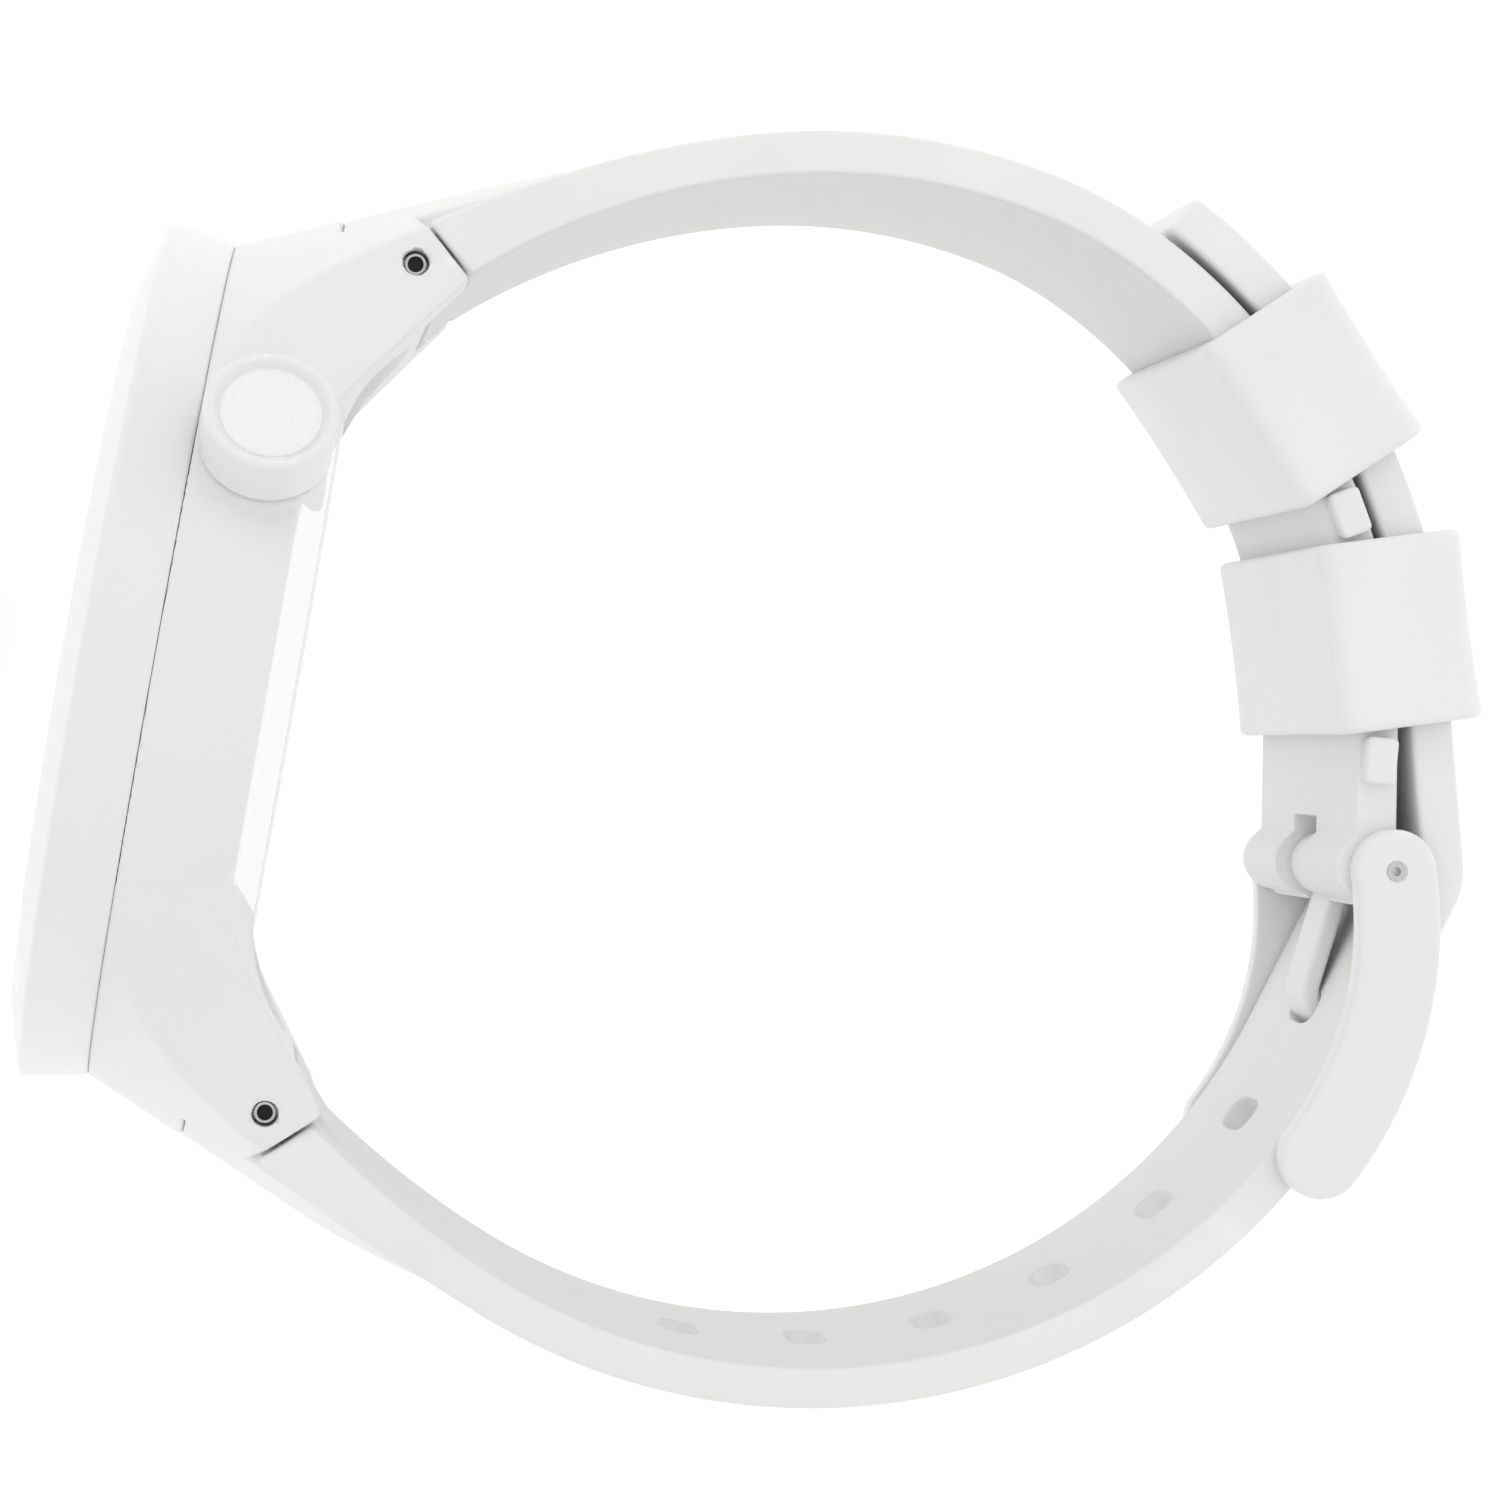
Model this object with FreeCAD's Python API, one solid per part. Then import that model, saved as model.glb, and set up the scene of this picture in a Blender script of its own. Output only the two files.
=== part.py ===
# Round wristwatch with a satellite receiver for golf, worn on a buckled rubber strap.
# Millimetres. Origin at the middle of the case back.  +X runs from the dial through the case
# to the buckle, +Y points to 12 o'clock and +Z points to the crown side (3 o'clock).
import FreeCAD, Part
import math
import os

V = FreeCAD.Vector
AXIS_X = V(1, 0, 0)
AXIS_Z = V(0, 0, 1)

# case, measured along X from the case back (x = 0) to the dial (negative x)
seam_x = -7.3                # joint between case middle and bezel
bezel_edge_x = -10.95        # widest edge of the bezel
bezel_lip_x = -11.85         # inner edge of the bezel chamfer
crystal_x = (-12.0, -10.5)   # front and rear face of the crystal
cover_x = -1.5               # face where the case back sits on the case middle
case_radius = 22.9
bezel_radius = 23.6
lip_radius = 20.6
crystal_radius = 19.2
bore_radius = 19.0           # room for the electronics
bevel_radius = 19.6          # where the rear bevel of the case middle ends
flange_radius = 16.2         # opening that the case back closes
cover_radius = 19.0
cover_flat_radius = 18.35

# lugs
lug_pin = (2.2, 22.42)       # upper lug pin centre, the lower one is its mirror
lug_tip_outer = (1.9, 24.96)
lug_tip_inner = (5.08, 22.05)
lug_root_y = 13.1
lug_gap_half = 9.2           # half the distance between the lugs of one pair
pin_radius = 0.7
pin_half_length = 13.3

# crown
crown_angle = 29.0           # from +Z towards 12 o'clock
crown_x = -3.75
crown_radius = 3.4
crown_base = 23.35           # distances from the case axis
crown_end = 26.6
boss_top = 22.98
tube_radius = 1.5
tube_bore = 0.9
stem_radius = 0.7

# strap, routes are chains of tangent arcs (radius, length)
strap_thickness = 2.35
tail_thickness = 2.28
short_start = (5.173, 22.32)
short_heading = 42.23
short_arcs = [(37.1, 18.3), (31.2, 13.4), (22.4, 5.7), (28.6, 27.8)]
short_straight = 7.6
long_start = (4.815, -22.564)
long_heading = -36.83
long_lead = (51.8, 12.78)
long_radius = 31.55
layer_gap = 0.45             # between the two strap layers under the keepers
tail_end_angle = 64.0
hole_pitch = 7.1
hole_count = 9
hole_size = (2.1, 5.5)       # along and across the strap
short_outer_start = (2.5, 24.68)
long_outer_start = (2.2, -24.99)
lead_reach = (8.5, 5.5)      # how far the thick ends flow into the even thickness, short and long
flap_cone = (26.06, 0.45)    # radius at x = 0 and growth along X of the flap that continues the case
flap_end = {1: (15.5, 31.45, 30.0), -1: (14.5, 30.7, 29.5)}  # x, outer and inner height, by side
tongue_gap = 0.12            # between the strap end and the layer that passes over it

# keepers
keeper_length = 10.2
keeper_inner = 27.0          # radii of the inner and outer face, from the keeper centre
keeper_outer = 35.05
keeper_wall = 1.1
keeper_half_width = 13.35
keeper_side_wall = 1.15
keeper_angles = (43.0, 17.4)
stop_angles = (30.25, 4.4)    # little stops on the strap edge that hold the keepers
stop_size = (2.5, 1.7, 0.9)  # along the strap, through its thickness, out of its edge

# buckle
buckle_pin = (59.15, 0.2)
buckle_pin_radius = 0.5
lobe_radius = 1.75
plate_half_width = 2.25
plate_z = (11.98, 13.45)
frame_middle = (60.15, -7.0)
frame_end = (57.85, -15.5)
bar_centre = (59.2, -15.98)
bar_half = (0.85, 1.2)
tongue_half_width = 2.4
slot_half_width = 2.75
slot_top = 2.5               # above the pin
tongue_hub = (1.5, 1.75, 0.5)  # radius, radius of its swelling on the wrist side and its offset
tongue_thickness = 0.95
tongue_lean = 7.3            # degrees towards the wrist
tongue_reach = 8.45          # from the pin to the peg that enters the hole
peg_half = 0.42
peg_end_angle = -79.0


def polar(angle, radius, centre=(0, 0)):
    a = math.radians(angle)
    return (centre[0] + radius * math.cos(a), centre[1] + radius * math.sin(a))


def at(point, z=0.0):
    return V(point[0], point[1], z)


def disc(radius, x0, x1, y=0.0, z=0.0):
    return Part.makeCylinder(radius, x1 - x0, V(x0, y, z), AXIS_X)


def ring(outer, inner, x0, x1, y=0.0, z=0.0):
    return disc(outer, x0, x1, y, z).cut(disc(inner, x0, x1, y, z))


def turned(profile):
    # solid of revolution about the case axis from (x, radius) corners
    wire = Part.makePolygon([V(x, r, 0) for x, r in profile + profile[:1]])
    return Part.Face(wire).revolve(V(0, 0, 0), AXIS_X, 360)


def box(x0, x1, y0, y1, z0, z1):
    return Part.makeBox(x1 - x0, y1 - y0, z1 - z0, V(x0, y0, z0))


def extrude_xy(edges, z0, z1):
    face = Part.Face(Part.Wire(Part.__sortEdges__(edges)))
    face.translate(V(0, 0, z0))
    return face.extrude(V(0, 0, z1 - z0))


def prism_xy(corners, z0, z1):
    wire = Part.makePolygon([at(p, z0) for p in corners + corners[:1]])
    return Part.Face(wire).extrude(V(0, 0, z1 - z0))


def to_crown(shape):
    # shapes for the crown are built along +Z and then turned on to the crown axis
    shape.rotate(V(0, 0, 0), AXIS_X, -crown_angle)
    shape.translate(V(crown_x, 0, 0))
    return shape


def crown_disc(radius, r0, r1):
    return to_crown(Part.makeCylinder(radius, r1 - r0, V(0, 0, r0)))


def mirror_y(shape):
    return shape.mirror(V(0, 0, 0), V(0, 1, 0))


def clock(angle, radius):
    # (y, z) of a place seen from the dial, angle from +Z towards 12 o'clock
    a = math.radians(angle)
    return (radius * math.sin(a), radius * math.cos(a))


# routes in the XY plane
def run_arcs(start, heading, arcs, turn):
    # stations of a chain of tangent arcs, turn is +1 to the left and -1 to the right
    pieces = []
    x, y = start
    for radius, length in arcs:
        centre = polar(heading + 90 * turn, radius, (x, y))
        swept = math.degrees(length / radius) * turn
        begin = heading - 90 * turn
        pieces.append((centre, radius, begin, begin + swept))
        x, y = polar(begin + swept, radius, centre)
        heading += swept
    return pieces, (x, y), heading


def arc_edge(centre, radius, a0, a1):
    ends = [at(polar(a, radius, centre)) for a in (a0, (a0 + a1) / 2, a1)]
    return Part.Arc(*ends).toShape()


def line_edge(p, q):
    return Part.LineSegment(at(p), at(q)).toShape()


def tangent_angle(c1, r1, c2, r2):
    # direction of the normal of the line that touches both circles on the same side
    dx, dy = c2[0] - c1[0], c2[1] - c1[1]
    spread = math.degrees(math.acos((r1 - r2) / math.hypot(dx, dy)))
    return math.degrees(math.atan2(dy, dx)), spread


short_pieces, short_end, short_end_heading = run_arcs(short_start, short_heading, short_arcs, -1)
keeper_centre = short_pieces[-1][0]
long_pieces, long_join, long_join_heading = run_arcs(long_start, long_heading, [long_lead], 1)
long_centre = polar(long_join_heading + 90, long_radius, long_join)
tail_radius = short_arcs[-1][0] + strap_thickness + layer_gap
over_pin = lobe_radius + tongue_gap
facing, spread = tangent_angle(long_centre, long_radius, buckle_pin, over_pin)
leave_angle = facing - spread
facing, spread = tangent_angle(keeper_centre, tail_radius, buckle_pin, over_pin)
join_angle = facing + spread


def strap_width_limits():
    # plan shape of the strap seen from above, wide at the lugs and narrower at the buckle
    half = [(-4, 14.0), (5, 14.0), (12, 13.65), (22, 12.6), (30, 12.15), (50, 11.75), (66, 11.7)]
    curve = Part.BSplineCurve()
    curve.interpolate([V(x, -45, z) for x, z in half])
    other = Part.BSplineCurve()
    other.interpolate([V(x, -45, -z) for x, z in half])
    first, last = half[0], half[-1]
    sides = [Part.LineSegment(V(e[0], -45, -e[1]), V(e[0], -45, e[1])).toShape() for e in (first, last)]
    wire = Part.Wire(Part.__sortEdges__([curve.toShape(), other.toShape()] + sides))
    return Part.Face(wire).extrude(V(0, 90, 0))


def lead_curve(outer_start, join_point, join_heading, reach):
    # thick end of the strap flowing into its even thickness
    handle = polar(join_heading + 180, reach, join_point)
    curve = Part.BezierCurve()
    curve.setPoles([at(outer_start), at(handle), at(join_point)])
    return curve.toShape()


def strap_lug_block(sign):
    # part of the strap between the lugs, with the flap that covers the step of the case
    end_x, end_outer, end_inner = flap_end[sign]
    side = [(-1.75, 26.5), (6.5, 29.2), (end_x, end_outer), (end_x, end_inner), (9.6, 27.0), (5.7, 22.85)]
    side += [(4.5, 21.4), (3.7, 20.3), (-0.3, 20.2), (-1.05, 22.9), (-1.05, 24.5)]
    block = prism_xy([(x, sign * y) for x, y in side], -lug_gap_half + 0.12, lug_gap_half - 0.12)
    cone = [(-3.0, 0), (-3.0, flap_cone[0] - 3.0 * flap_cone[1]), (18.0, flap_cone[0] + 18.0 * flap_cone[1])]
    block = block.common(turned(cone + [(18.0, 0)]))
    centre = V(lug_pin[0], sign * lug_pin[1], -15)
    return block.cut(Part.makeCylinder(pin_radius + 0.02, 30, centre, AXIS_Z))


def strap_short():
    thick = strap_thickness
    edges = [arc_edge(*piece) for piece in short_pieces]
    corner = polar(short_end_heading, short_straight, short_end)
    outer_corner = polar(short_end_heading + 90, thick, corner)
    outer_end = polar(short_end_heading + 90, thick, short_end)
    edges += [line_edge(short_end, corner), line_edge(corner, outer_corner)]
    edges += [line_edge(outer_corner, outer_end)]
    for centre, radius, a0, a1 in short_pieces[1:]:
        edges.append(arc_edge(centre, radius + thick, a0, a1))
    centre, radius, a0, a1 = short_pieces[0]
    outer_start = short_outer_start
    join = polar(a1, radius + thick, centre)
    edges.append(lead_curve(outer_start, join, a1 - 90, lead_reach[0]))
    edges.append(line_edge(outer_start, short_start))
    band = extrude_xy(edges, -15, 15)
    inner_lobe = Part.makeCylinder(2.0, 30, V(buckle_pin[0] - 1.05, buckle_pin[1] + 0.2, -15))
    outer_lobe = Part.makeCylinder(lobe_radius, 30, V(buckle_pin[0], buckle_pin[1], -15))
    web = box(buckle_pin[0] - 1.05, buckle_pin[0], buckle_pin[1] - 1.75, buckle_pin[1] + 1.75, -15, 15)
    solid = band.fuse([inner_lobe, outer_lobe, web]).common(strap_width_limits())
    for angle in stop_angles:
        solid = solid.fuse(keeper_stops(angle))
    solid = solid.fuse(strap_lug_block(1))
    slot = box(buckle_pin[0] - 8, buckle_pin[0] + 4, buckle_pin[1] - 4, buckle_pin[1] + slot_top,
               -slot_half_width, slot_half_width)
    bore = Part.makeCylinder(buckle_pin_radius + 0.03, 30, V(buckle_pin[0], buckle_pin[1], -15))
    return solid.cut(slot).cut(bore).removeSplitter()


def keeper_stops(angle):
    along, through, out = stop_size
    radius = short_arcs[-1][0] + strap_thickness * 0.55
    half = 12.0
    stop = box(radius - through / 2, radius + through / 2, -along / 2, along / 2, -half - out, half + out)
    stop.rotate(V(0, 0, 0), AXIS_Z, angle)
    stop.translate(at(keeper_centre))
    return stop


def strap_long_edges(offset):
    # chain from the lower lug round the wrist, over the buckle pin and back over the short strap
    leave = [polar(leave_angle, long_radius + offset, long_centre),
             polar(leave_angle, over_pin + offset, buckle_pin)]
    climb = [polar(join_angle, over_pin + offset, buckle_pin),
             polar(join_angle, tail_radius + offset, keeper_centre)]
    return [
        arc_edge(long_centre, long_radius + offset, long_join_heading - 90, leave_angle),
        line_edge(*leave),
        arc_edge(buckle_pin, over_pin + offset, leave_angle, join_angle),
        line_edge(*climb),
        arc_edge(keeper_centre, tail_radius + offset, join_angle, tail_end_angle),
    ]


def hole_places():
    # centre and outward direction of each hole, counted from the one that the tongue uses
    straight = 1.45
    start = polar(leave_angle, long_radius, long_centre)
    used = polar(leave_angle + 90, straight, start)
    places = [(used, leave_angle)]
    step = math.degrees(hole_pitch / long_radius)
    first = leave_angle - step + math.degrees(straight / long_radius)
    for k in range(hole_count - 3):
        places.append((polar(first - k * step, long_radius, long_centre), first - k * step))
    climb_start = polar(join_angle, over_pin, buckle_pin)
    for distance in (hole_pitch * 0.05, hole_pitch * 1.05):
        places.append((polar(join_angle + 90, distance, climb_start), join_angle))
    return places


def hole_cutter(place, direction):
    along, across = hole_size
    radius = along / 2
    core = box(-2, 4, -radius, radius, -across / 2 + radius, across / 2 - radius)
    for z in (-across / 2 + radius, across / 2 - radius):
        core = core.fuse(disc(radius, -2, 4, 0, z))
    core.rotate(V(0, 0, 0), AXIS_Z, direction)
    core.translate(at(place))
    return core


def strap_long():
    thick = tail_thickness
    lead = long_pieces[0]
    outer_start = long_outer_start
    join = polar(long_join_heading - 90, long_radius + thick, long_centre)
    edges = [arc_edge(*lead)] + strap_long_edges(0) + strap_long_edges(thick)
    tip = [polar(tail_end_angle, tail_radius + d, keeper_centre) for d in (0, thick)]
    edges += [line_edge(*tip), lead_curve(outer_start, join, long_join_heading, lead_reach[1])]
    edges.append(line_edge(outer_start, long_start))
    band = extrude_xy(edges, -15, 15).common(strap_width_limits())
    band = band.fuse(strap_lug_block(-1))
    for place, direction in hole_places():
        band = band.cut(hole_cutter(place, direction))
    return band.removeSplitter()


def keeper(angle):
    half = keeper_length / 2
    outer = box(keeper_inner, keeper_outer, -half, half, -keeper_half_width, keeper_half_width)
    along_edges = [e for e in outer.Edges if abs(e.tangentAt(e.FirstParameter).y) > 0.9]
    outer = outer.makeFillet(1.0, along_edges)
    hollow = box(keeper_inner + keeper_wall, keeper_outer - keeper_wall - 0.05, -half - 1, half + 1,
                 -keeper_half_width + keeper_side_wall, keeper_half_width - keeper_side_wall)
    sleeve = outer.cut(hollow)
    sleeve.rotate(V(0, 0, 0), AXIS_Z, angle)
    sleeve.translate(at(keeper_centre))
    return sleeve


# buckle
def buckle_plate(z0, z1):
    # side plate, a band of even width along an arc with round ends
    circle = Part.Arc(at(buckle_pin), at(frame_middle), at(frame_end)).toShape().Curve
    centre = (circle.Center.x, circle.Center.y)
    ends = []
    for p in (buckle_pin, frame_end):
        ends.append(math.degrees(math.atan2(p[1] - centre[1], p[0] - centre[0])))
    w = plate_half_width
    r = circle.Radius
    sides = [arc_edge(centre, r + d, *ends) for d in (-w, w)]
    caps = [line_edge(polar(a, r - w, centre), polar(a, r + w, centre)) for a in ends]
    plate = extrude_xy(sides + caps, z0, z1)
    for p in (buckle_pin, frame_end):
        plate = plate.fuse(Part.makeCylinder(w, z1 - z0, at(p, z0)))
    return plate.removeSplitter()


def buckle_frame():
    z0, z1 = plate_z
    frame = buckle_plate(z0, z1).fuse(buckle_plate(-z1, -z0))
    bar = box(-bar_half[0], bar_half[0], -bar_half[1], bar_half[1], -z0 - 0.5, z0 + 0.5)
    long_edges = [e for e in bar.Edges if abs(e.tangentAt(e.FirstParameter).z) > 0.9]
    bar = bar.makeFillet(0.6, long_edges)
    bar.rotate(V(0, 0, 0), AXIS_Z, -27.5)
    bar.translate(at(bar_centre))
    frame = frame.fuse(bar)
    bore = Part.makeCylinder(buckle_pin_radius, 30, V(buckle_pin[0], buckle_pin[1], -15))
    return frame.cut(bore).removeSplitter()


def buckle_tongue():
    half = tongue_half_width
    radius, swelling, offset = tongue_hub
    hub = Part.makeCylinder(radius, 2 * half, at(buckle_pin, -half))
    swell = Part.makeCylinder(swelling, 2 * half, at((buckle_pin[0] - offset, buckle_pin[1]), -half))
    arm = box(-tongue_thickness / 2, tongue_thickness / 2, -tongue_reach, 0, -half, half)
    arm.rotate(V(0, 0, 0), AXIS_Z, -tongue_lean)
    arm.translate(at(buckle_pin))
    heel = -90 - tongue_lean - math.degrees(tongue_thickness / 2 / tongue_reach)
    radii = (tongue_reach - peg_half, tongue_reach + peg_half)
    faces = [arc_edge(buckle_pin, r, heel, peg_end_angle) for r in radii]
    caps = [line_edge(*[polar(a, r, buckle_pin) for r in radii]) for a in (heel, peg_end_angle)]
    peg = extrude_xy(faces + caps, -half, half)
    bore = Part.makeCylinder(buckle_pin_radius + 0.04, 30, V(buckle_pin[0], buckle_pin[1], -15))
    return hub.fuse([swell, arm, peg]).cut(bore).removeSplitter()


def buckle_pin_solid():
    z1 = plate_z[1] - 0.12
    bar = Part.makeCylinder(buckle_pin_radius, 2 * z1, at(buckle_pin, -z1))
    for side in (-1, 1):
        dimple = Part.makeCylinder(0.24, 1.0, at(buckle_pin, side * z1 - 0.5))
        bar = bar.cut(dimple)
    return bar


# case
def lug_pair():
    # one pair of lugs on the 12 o'clock side: side view, plan view and sloping top
    tip_o, tip_i = lug_tip_outer, lug_tip_inner
    slope = (tip_o[0] - tip_i[0]) / (tip_o[1] - tip_i[1])
    high = (tip_i[0] + slope * (32 - tip_i[1]), 32)
    side = prism_xy([(seam_x, 8), (seam_x, 32), high, tip_i, (cover_x, lug_root_y), (cover_x, 8)], -20, 20)
    flank = [V(seam_x, 12.0, 19.6), V(seam_x, 18.2, 16.1), V(seam_x, 26, 13.65)]
    other = [V(p.x, p.y, -p.z) for p in flank]
    outline = [Part.Arc(*flank).toShape(), Part.Arc(*other).toShape()]
    outline += [Part.LineSegment(flank[k], other[k]).toShape() for k in (0, 2)]
    plan = Part.Face(Part.Wire(Part.__sortEdges__(outline))).extrude(V(14, 0, 0))
    reach = 13.3
    first = Part.Wire(Part.makeCircle(case_radius, V(seam_x, 0, 0), AXIS_X))
    second = Part.Wire(Part.makeCircle(41.7, V(seam_x + reach, 28.75 - 41.7, 0), AXIS_X))
    slope_solid = Part.makeLoft([first, second], True, True)
    return side.common(plan).common(slope_solid)


def strap_pocket():
    # room between the lugs for the strap, behind a step in the sloping top
    ledge = [(-1.87, 25.2), (-1.2, 24.5), (-1.2, 19.95), (9, 19.95), (9, 32), (-1.87, 32)]
    return prism_xy(ledge, -lug_gap_half, lug_gap_half)


def case_middle():
    body = turned([(seam_x, bore_radius + 0.9), (-8.8, bore_radius + 0.9), (-8.8, 21.0), (seam_x, 21.0),
                   (seam_x, case_radius), (cover_x, case_radius), (-0.35, bevel_radius),
                   (cover_x, bevel_radius), (cover_x, flange_radius), (-3.4, flange_radius),
                   (-3.4, bore_radius), (-8.1, bore_radius), (-8.1, bore_radius + 0.9)])
    lugs = lug_pair().cut(strap_pocket())
    body = body.fuse([lugs, mirror_y(lugs), crown_disc(3.3, 21.0, boss_top)])
    body = body.cut(disc(bore_radius, -8.1, -3.4)).cut(disc(bore_radius + 0.9, -8.8, -8.1))
    body = body.cut(disc(flange_radius, -3.5, cover_x)).cut(disc(cover_radius + 0.05, cover_x, 4))
    body = body.cut(crown_disc(tube_radius, 15, 25))
    for sign in (1, -1):
        centre = V(lug_pin[0], sign * lug_pin[1], -16)
        body = body.cut(Part.makeCylinder(pin_radius, 32, centre, AXIS_Z))
    for angle in screw_angles:
        y, z = clock(angle, screw_circle)
        body = body.cut(disc(0.5, -3.3, cover_x, y, z))
    return max(body.removeSplitter().Solids, key=lambda s: s.Volume)


def bezel():
    return turned([(seam_x, 21.06), (seam_x, case_radius + 0.05), (bezel_edge_x, bezel_radius),
                   (bezel_lip_x, lip_radius), (-12.0, crystal_radius + 0.55),
                   (-12.0, crystal_radius + 0.08), (-10.15, crystal_radius + 0.08),
                   (-10.15, 18.4), (-9.0, 18.4), (-9.0, 21.06)])


def crystal():
    front, rear = crystal_x
    return turned([(front, 0), (front, crystal_radius - 0.35), (front + 0.35, crystal_radius),
                   (rear, crystal_radius), (rear, 0)])


screw_angles = (60, 150, 240, 330)
screw_circle = 17.4
contact_z = (-4.2, -1.4, 1.4, 4.2)
contact_y = -12.6


def case_back():
    lip = flange_radius - 0.3
    body = turned([(cover_x, 0), (cover_x, lip - 0.9), (-2.1, lip - 0.9), (-2.1, lip), (cover_x, lip),
                   (cover_x, cover_radius), (-0.45, cover_radius), (-0.12, cover_radius - 0.2),
                   (0, cover_flat_radius), (0, 0)])
    body = body.cut(box(-2, 1, contact_y - 1.3, contact_y + 1.3, -6.2, 6.2))
    for angle in screw_angles:
        y, z = clock(angle, screw_circle)
        body = body.cut(disc(0.55, -2, 0, y, z)).cut(disc(0.85, -0.85, 0.1, y, z))
    return body.removeSplitter()


def case_back_screws():
    solids = []
    for angle in screw_angles:
        y, z = clock(angle, screw_circle)
        screw = disc(0.49, -3.2, -0.8, y, z).fuse(disc(0.8, -0.83, -0.3, y, z))
        screw = screw.cut(box(-0.5, 0, y - 0.15, y + 0.15, z - 1, z + 1))
        solids.append(screw.removeSplitter())
    return Part.makeCompound(solids)


def contact_block():
    block = box(-2.0, -0.45, contact_y - 1.25, contact_y + 1.25, -6.15, 6.15)
    for z in contact_z:
        block = block.cut(disc(0.75, -3, 0, contact_y, z))
    return block


def charging_contacts():
    return Part.makeCompound([disc(0.74, -2.5, -0.3, contact_y, z) for z in contact_z])


def lug_pin_solid(sign):
    centre = V(lug_pin[0], sign * lug_pin[1], -pin_half_length)
    bar = Part.makeCylinder(pin_radius, 2 * pin_half_length, centre, AXIS_Z)
    for side in (-1, 1):
        place = V(lug_pin[0], sign * lug_pin[1], side * pin_half_length - 2.5)
        bar = bar.cut(Part.makeCylinder(0.47, 5.0, place, AXIS_Z))
    return bar


# crown and its switch
def crown_cap():
    cap = crown_disc(crown_radius, crown_base, crown_end)
    cap = cap.cut(crown_disc(2.65, crown_end - 0.22, crown_end + 1))
    groove = crown_disc(3.05, crown_end - 0.14, crown_end + 1)
    groove = groove.cut(crown_disc(2.86, crown_end - 1, crown_end + 1))
    cap = cap.cut(groove).cut(crown_disc(2.2, crown_base - 1, crown_base + 1.1))
    return cap.cut(crown_disc(stem_radius, crown_base, crown_base + 1.9)).removeSplitter()


def crown_stem():
    stem = crown_disc(stem_radius, 13.4, crown_base + 1.85)
    for r0 in (18.6, 20.4):
        groove = crown_disc(2, r0, r0 + 0.6).cut(crown_disc(0.5, r0 - 1, r0 + 2))
        stem = stem.cut(groove)
    return stem


def crown_seals():
    rings = []
    for r0 in (18.6, 20.4):
        rings.append(crown_disc(tube_bore - 0.02, r0 + 0.05, r0 + 0.55).cut(crown_disc(0.5, r0 - 1, r0 + 2)))
    return Part.makeCompound(rings)


def crown_tube():
    tube = crown_disc(tube_radius, 17.6, 23.5)
    return tube.cut(crown_disc(tube_bore, 10, 30))


def encoder_wheel():
    wheel = crown_disc(1.55, 14.8, 15.8)
    for k in range(12):
        tooth = Part.makeBox(0.36, 0.6, 2, V(-0.18, 1.3, 14.5))
        tooth.rotate(V(0, 0, 0), AXIS_Z, 30 * k)
        wheel = wheel.cut(to_crown(tooth))
    return wheel.cut(crown_disc(stem_radius, 10, 20)).removeSplitter()


def crown_thrust_plate():
    plate = to_crown(Part.makeBox(2.6, 3.0, 0.6, V(-1.3, -1.5, 12.75)))
    return plate.fuse(crown_disc(0.5, 11.9, 12.75)).removeSplitter()


def crown_bracket():
    base = to_crown(Part.makeBox(0.3, 4.4, 2.0, V(-2.3, -2.2, 11.6)))
    walls = [to_crown(Part.makeBox(3.4, 0.4, 2.0, V(-2.3, y, 11.6))) for y in (-2.2, 1.8)]
    return base.fuse(walls).removeSplitter()


def crown_switch():
    body = to_crown(Part.makeBox(3.3, 3.6, 1.6, V(-2.3, -1.8, 9.6)))
    return body.fuse(crown_disc(0.6, 11.2, 11.45)).removeSplitter()


def encoder_sensor():
    return to_crown(Part.makeBox(0.4, 1.8, 1.4, V(-2.3, -0.9, 14.6)))


# electronics
board_x = (-6.95, -6.1)
post_angles = (75, 180, 300)
post_circle = 16.6
battery_radius = 10.0
battery_centre = clock(crown_angle + 180, 6.0)
motor_centre = (12.1, -3.0)
motor_x = (-6.05, -3.55)


def dial_ring():
    return ring(18.3, 16.6, -10.42, -10.1)


def display_panel():
    return disc(17.0, -10.05, -8.95)


def display_carrier():
    base = disc(19.75, -8.7, -8.15)
    rim = ring(18.2, 17.1, -10.05, -8.7)
    body = base.fuse(rim).cut(box(-9, -8, -15.9, -14.7, -4.3, 4.3))
    for angle in post_angles:
        y, z = clock(angle, post_circle)
        body = body.fuse(disc(1.1, -8.2, board_x[0], y, z))
    for angle in post_angles:
        y, z = clock(angle, post_circle)
        body = body.cut(disc(0.45, -8.2, board_x[0] + 1, y, z))
    return body.cut(disc(9.0, -9.0, -8.0)).removeSplitter()


def display_backing():
    return disc(8.9, -8.9, -8.2)


def display_flex():
    return box(-8.94, board_x[0], -15.4, -15.2, -4.0, 4.0)


def gps_antenna():
    film = ring(19.7, 18.5, -8.98, -8.73)
    return film.cut(box(-9.5, -8, -20, -17, -1.0, 1.0))


def main_board():
    board = disc(18.2, *board_x)
    for angle in post_angles:
        y, z = clock(angle, post_circle)
        board = board.cut(disc(0.45, -8, -5, y, z))
    return board


def board_screws():
    solids = []
    for angle in post_angles:
        y, z = clock(angle, post_circle)
        solids.append(disc(0.44, -7.9, -6.05, y, z).fuse(disc(0.9, -6.09, -5.6, y, z)).removeSplitter())
    return Part.makeCompound(solids)


def processor_shield():
    can = box(-8.0, board_x[0], 2.0, 13.0, -8.0, 5.0)
    return can.cut(box(-7.85, board_x[0] + 0.1, 2.15, 12.85, -7.85, 4.85))


def processor():
    return box(-7.75, board_x[0], 4.5, 10.5, -5.0, 1.0)


def gps_receiver():
    return box(-7.95, board_x[0], -9.0, -1.5, -3.5, 4.0)


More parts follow.
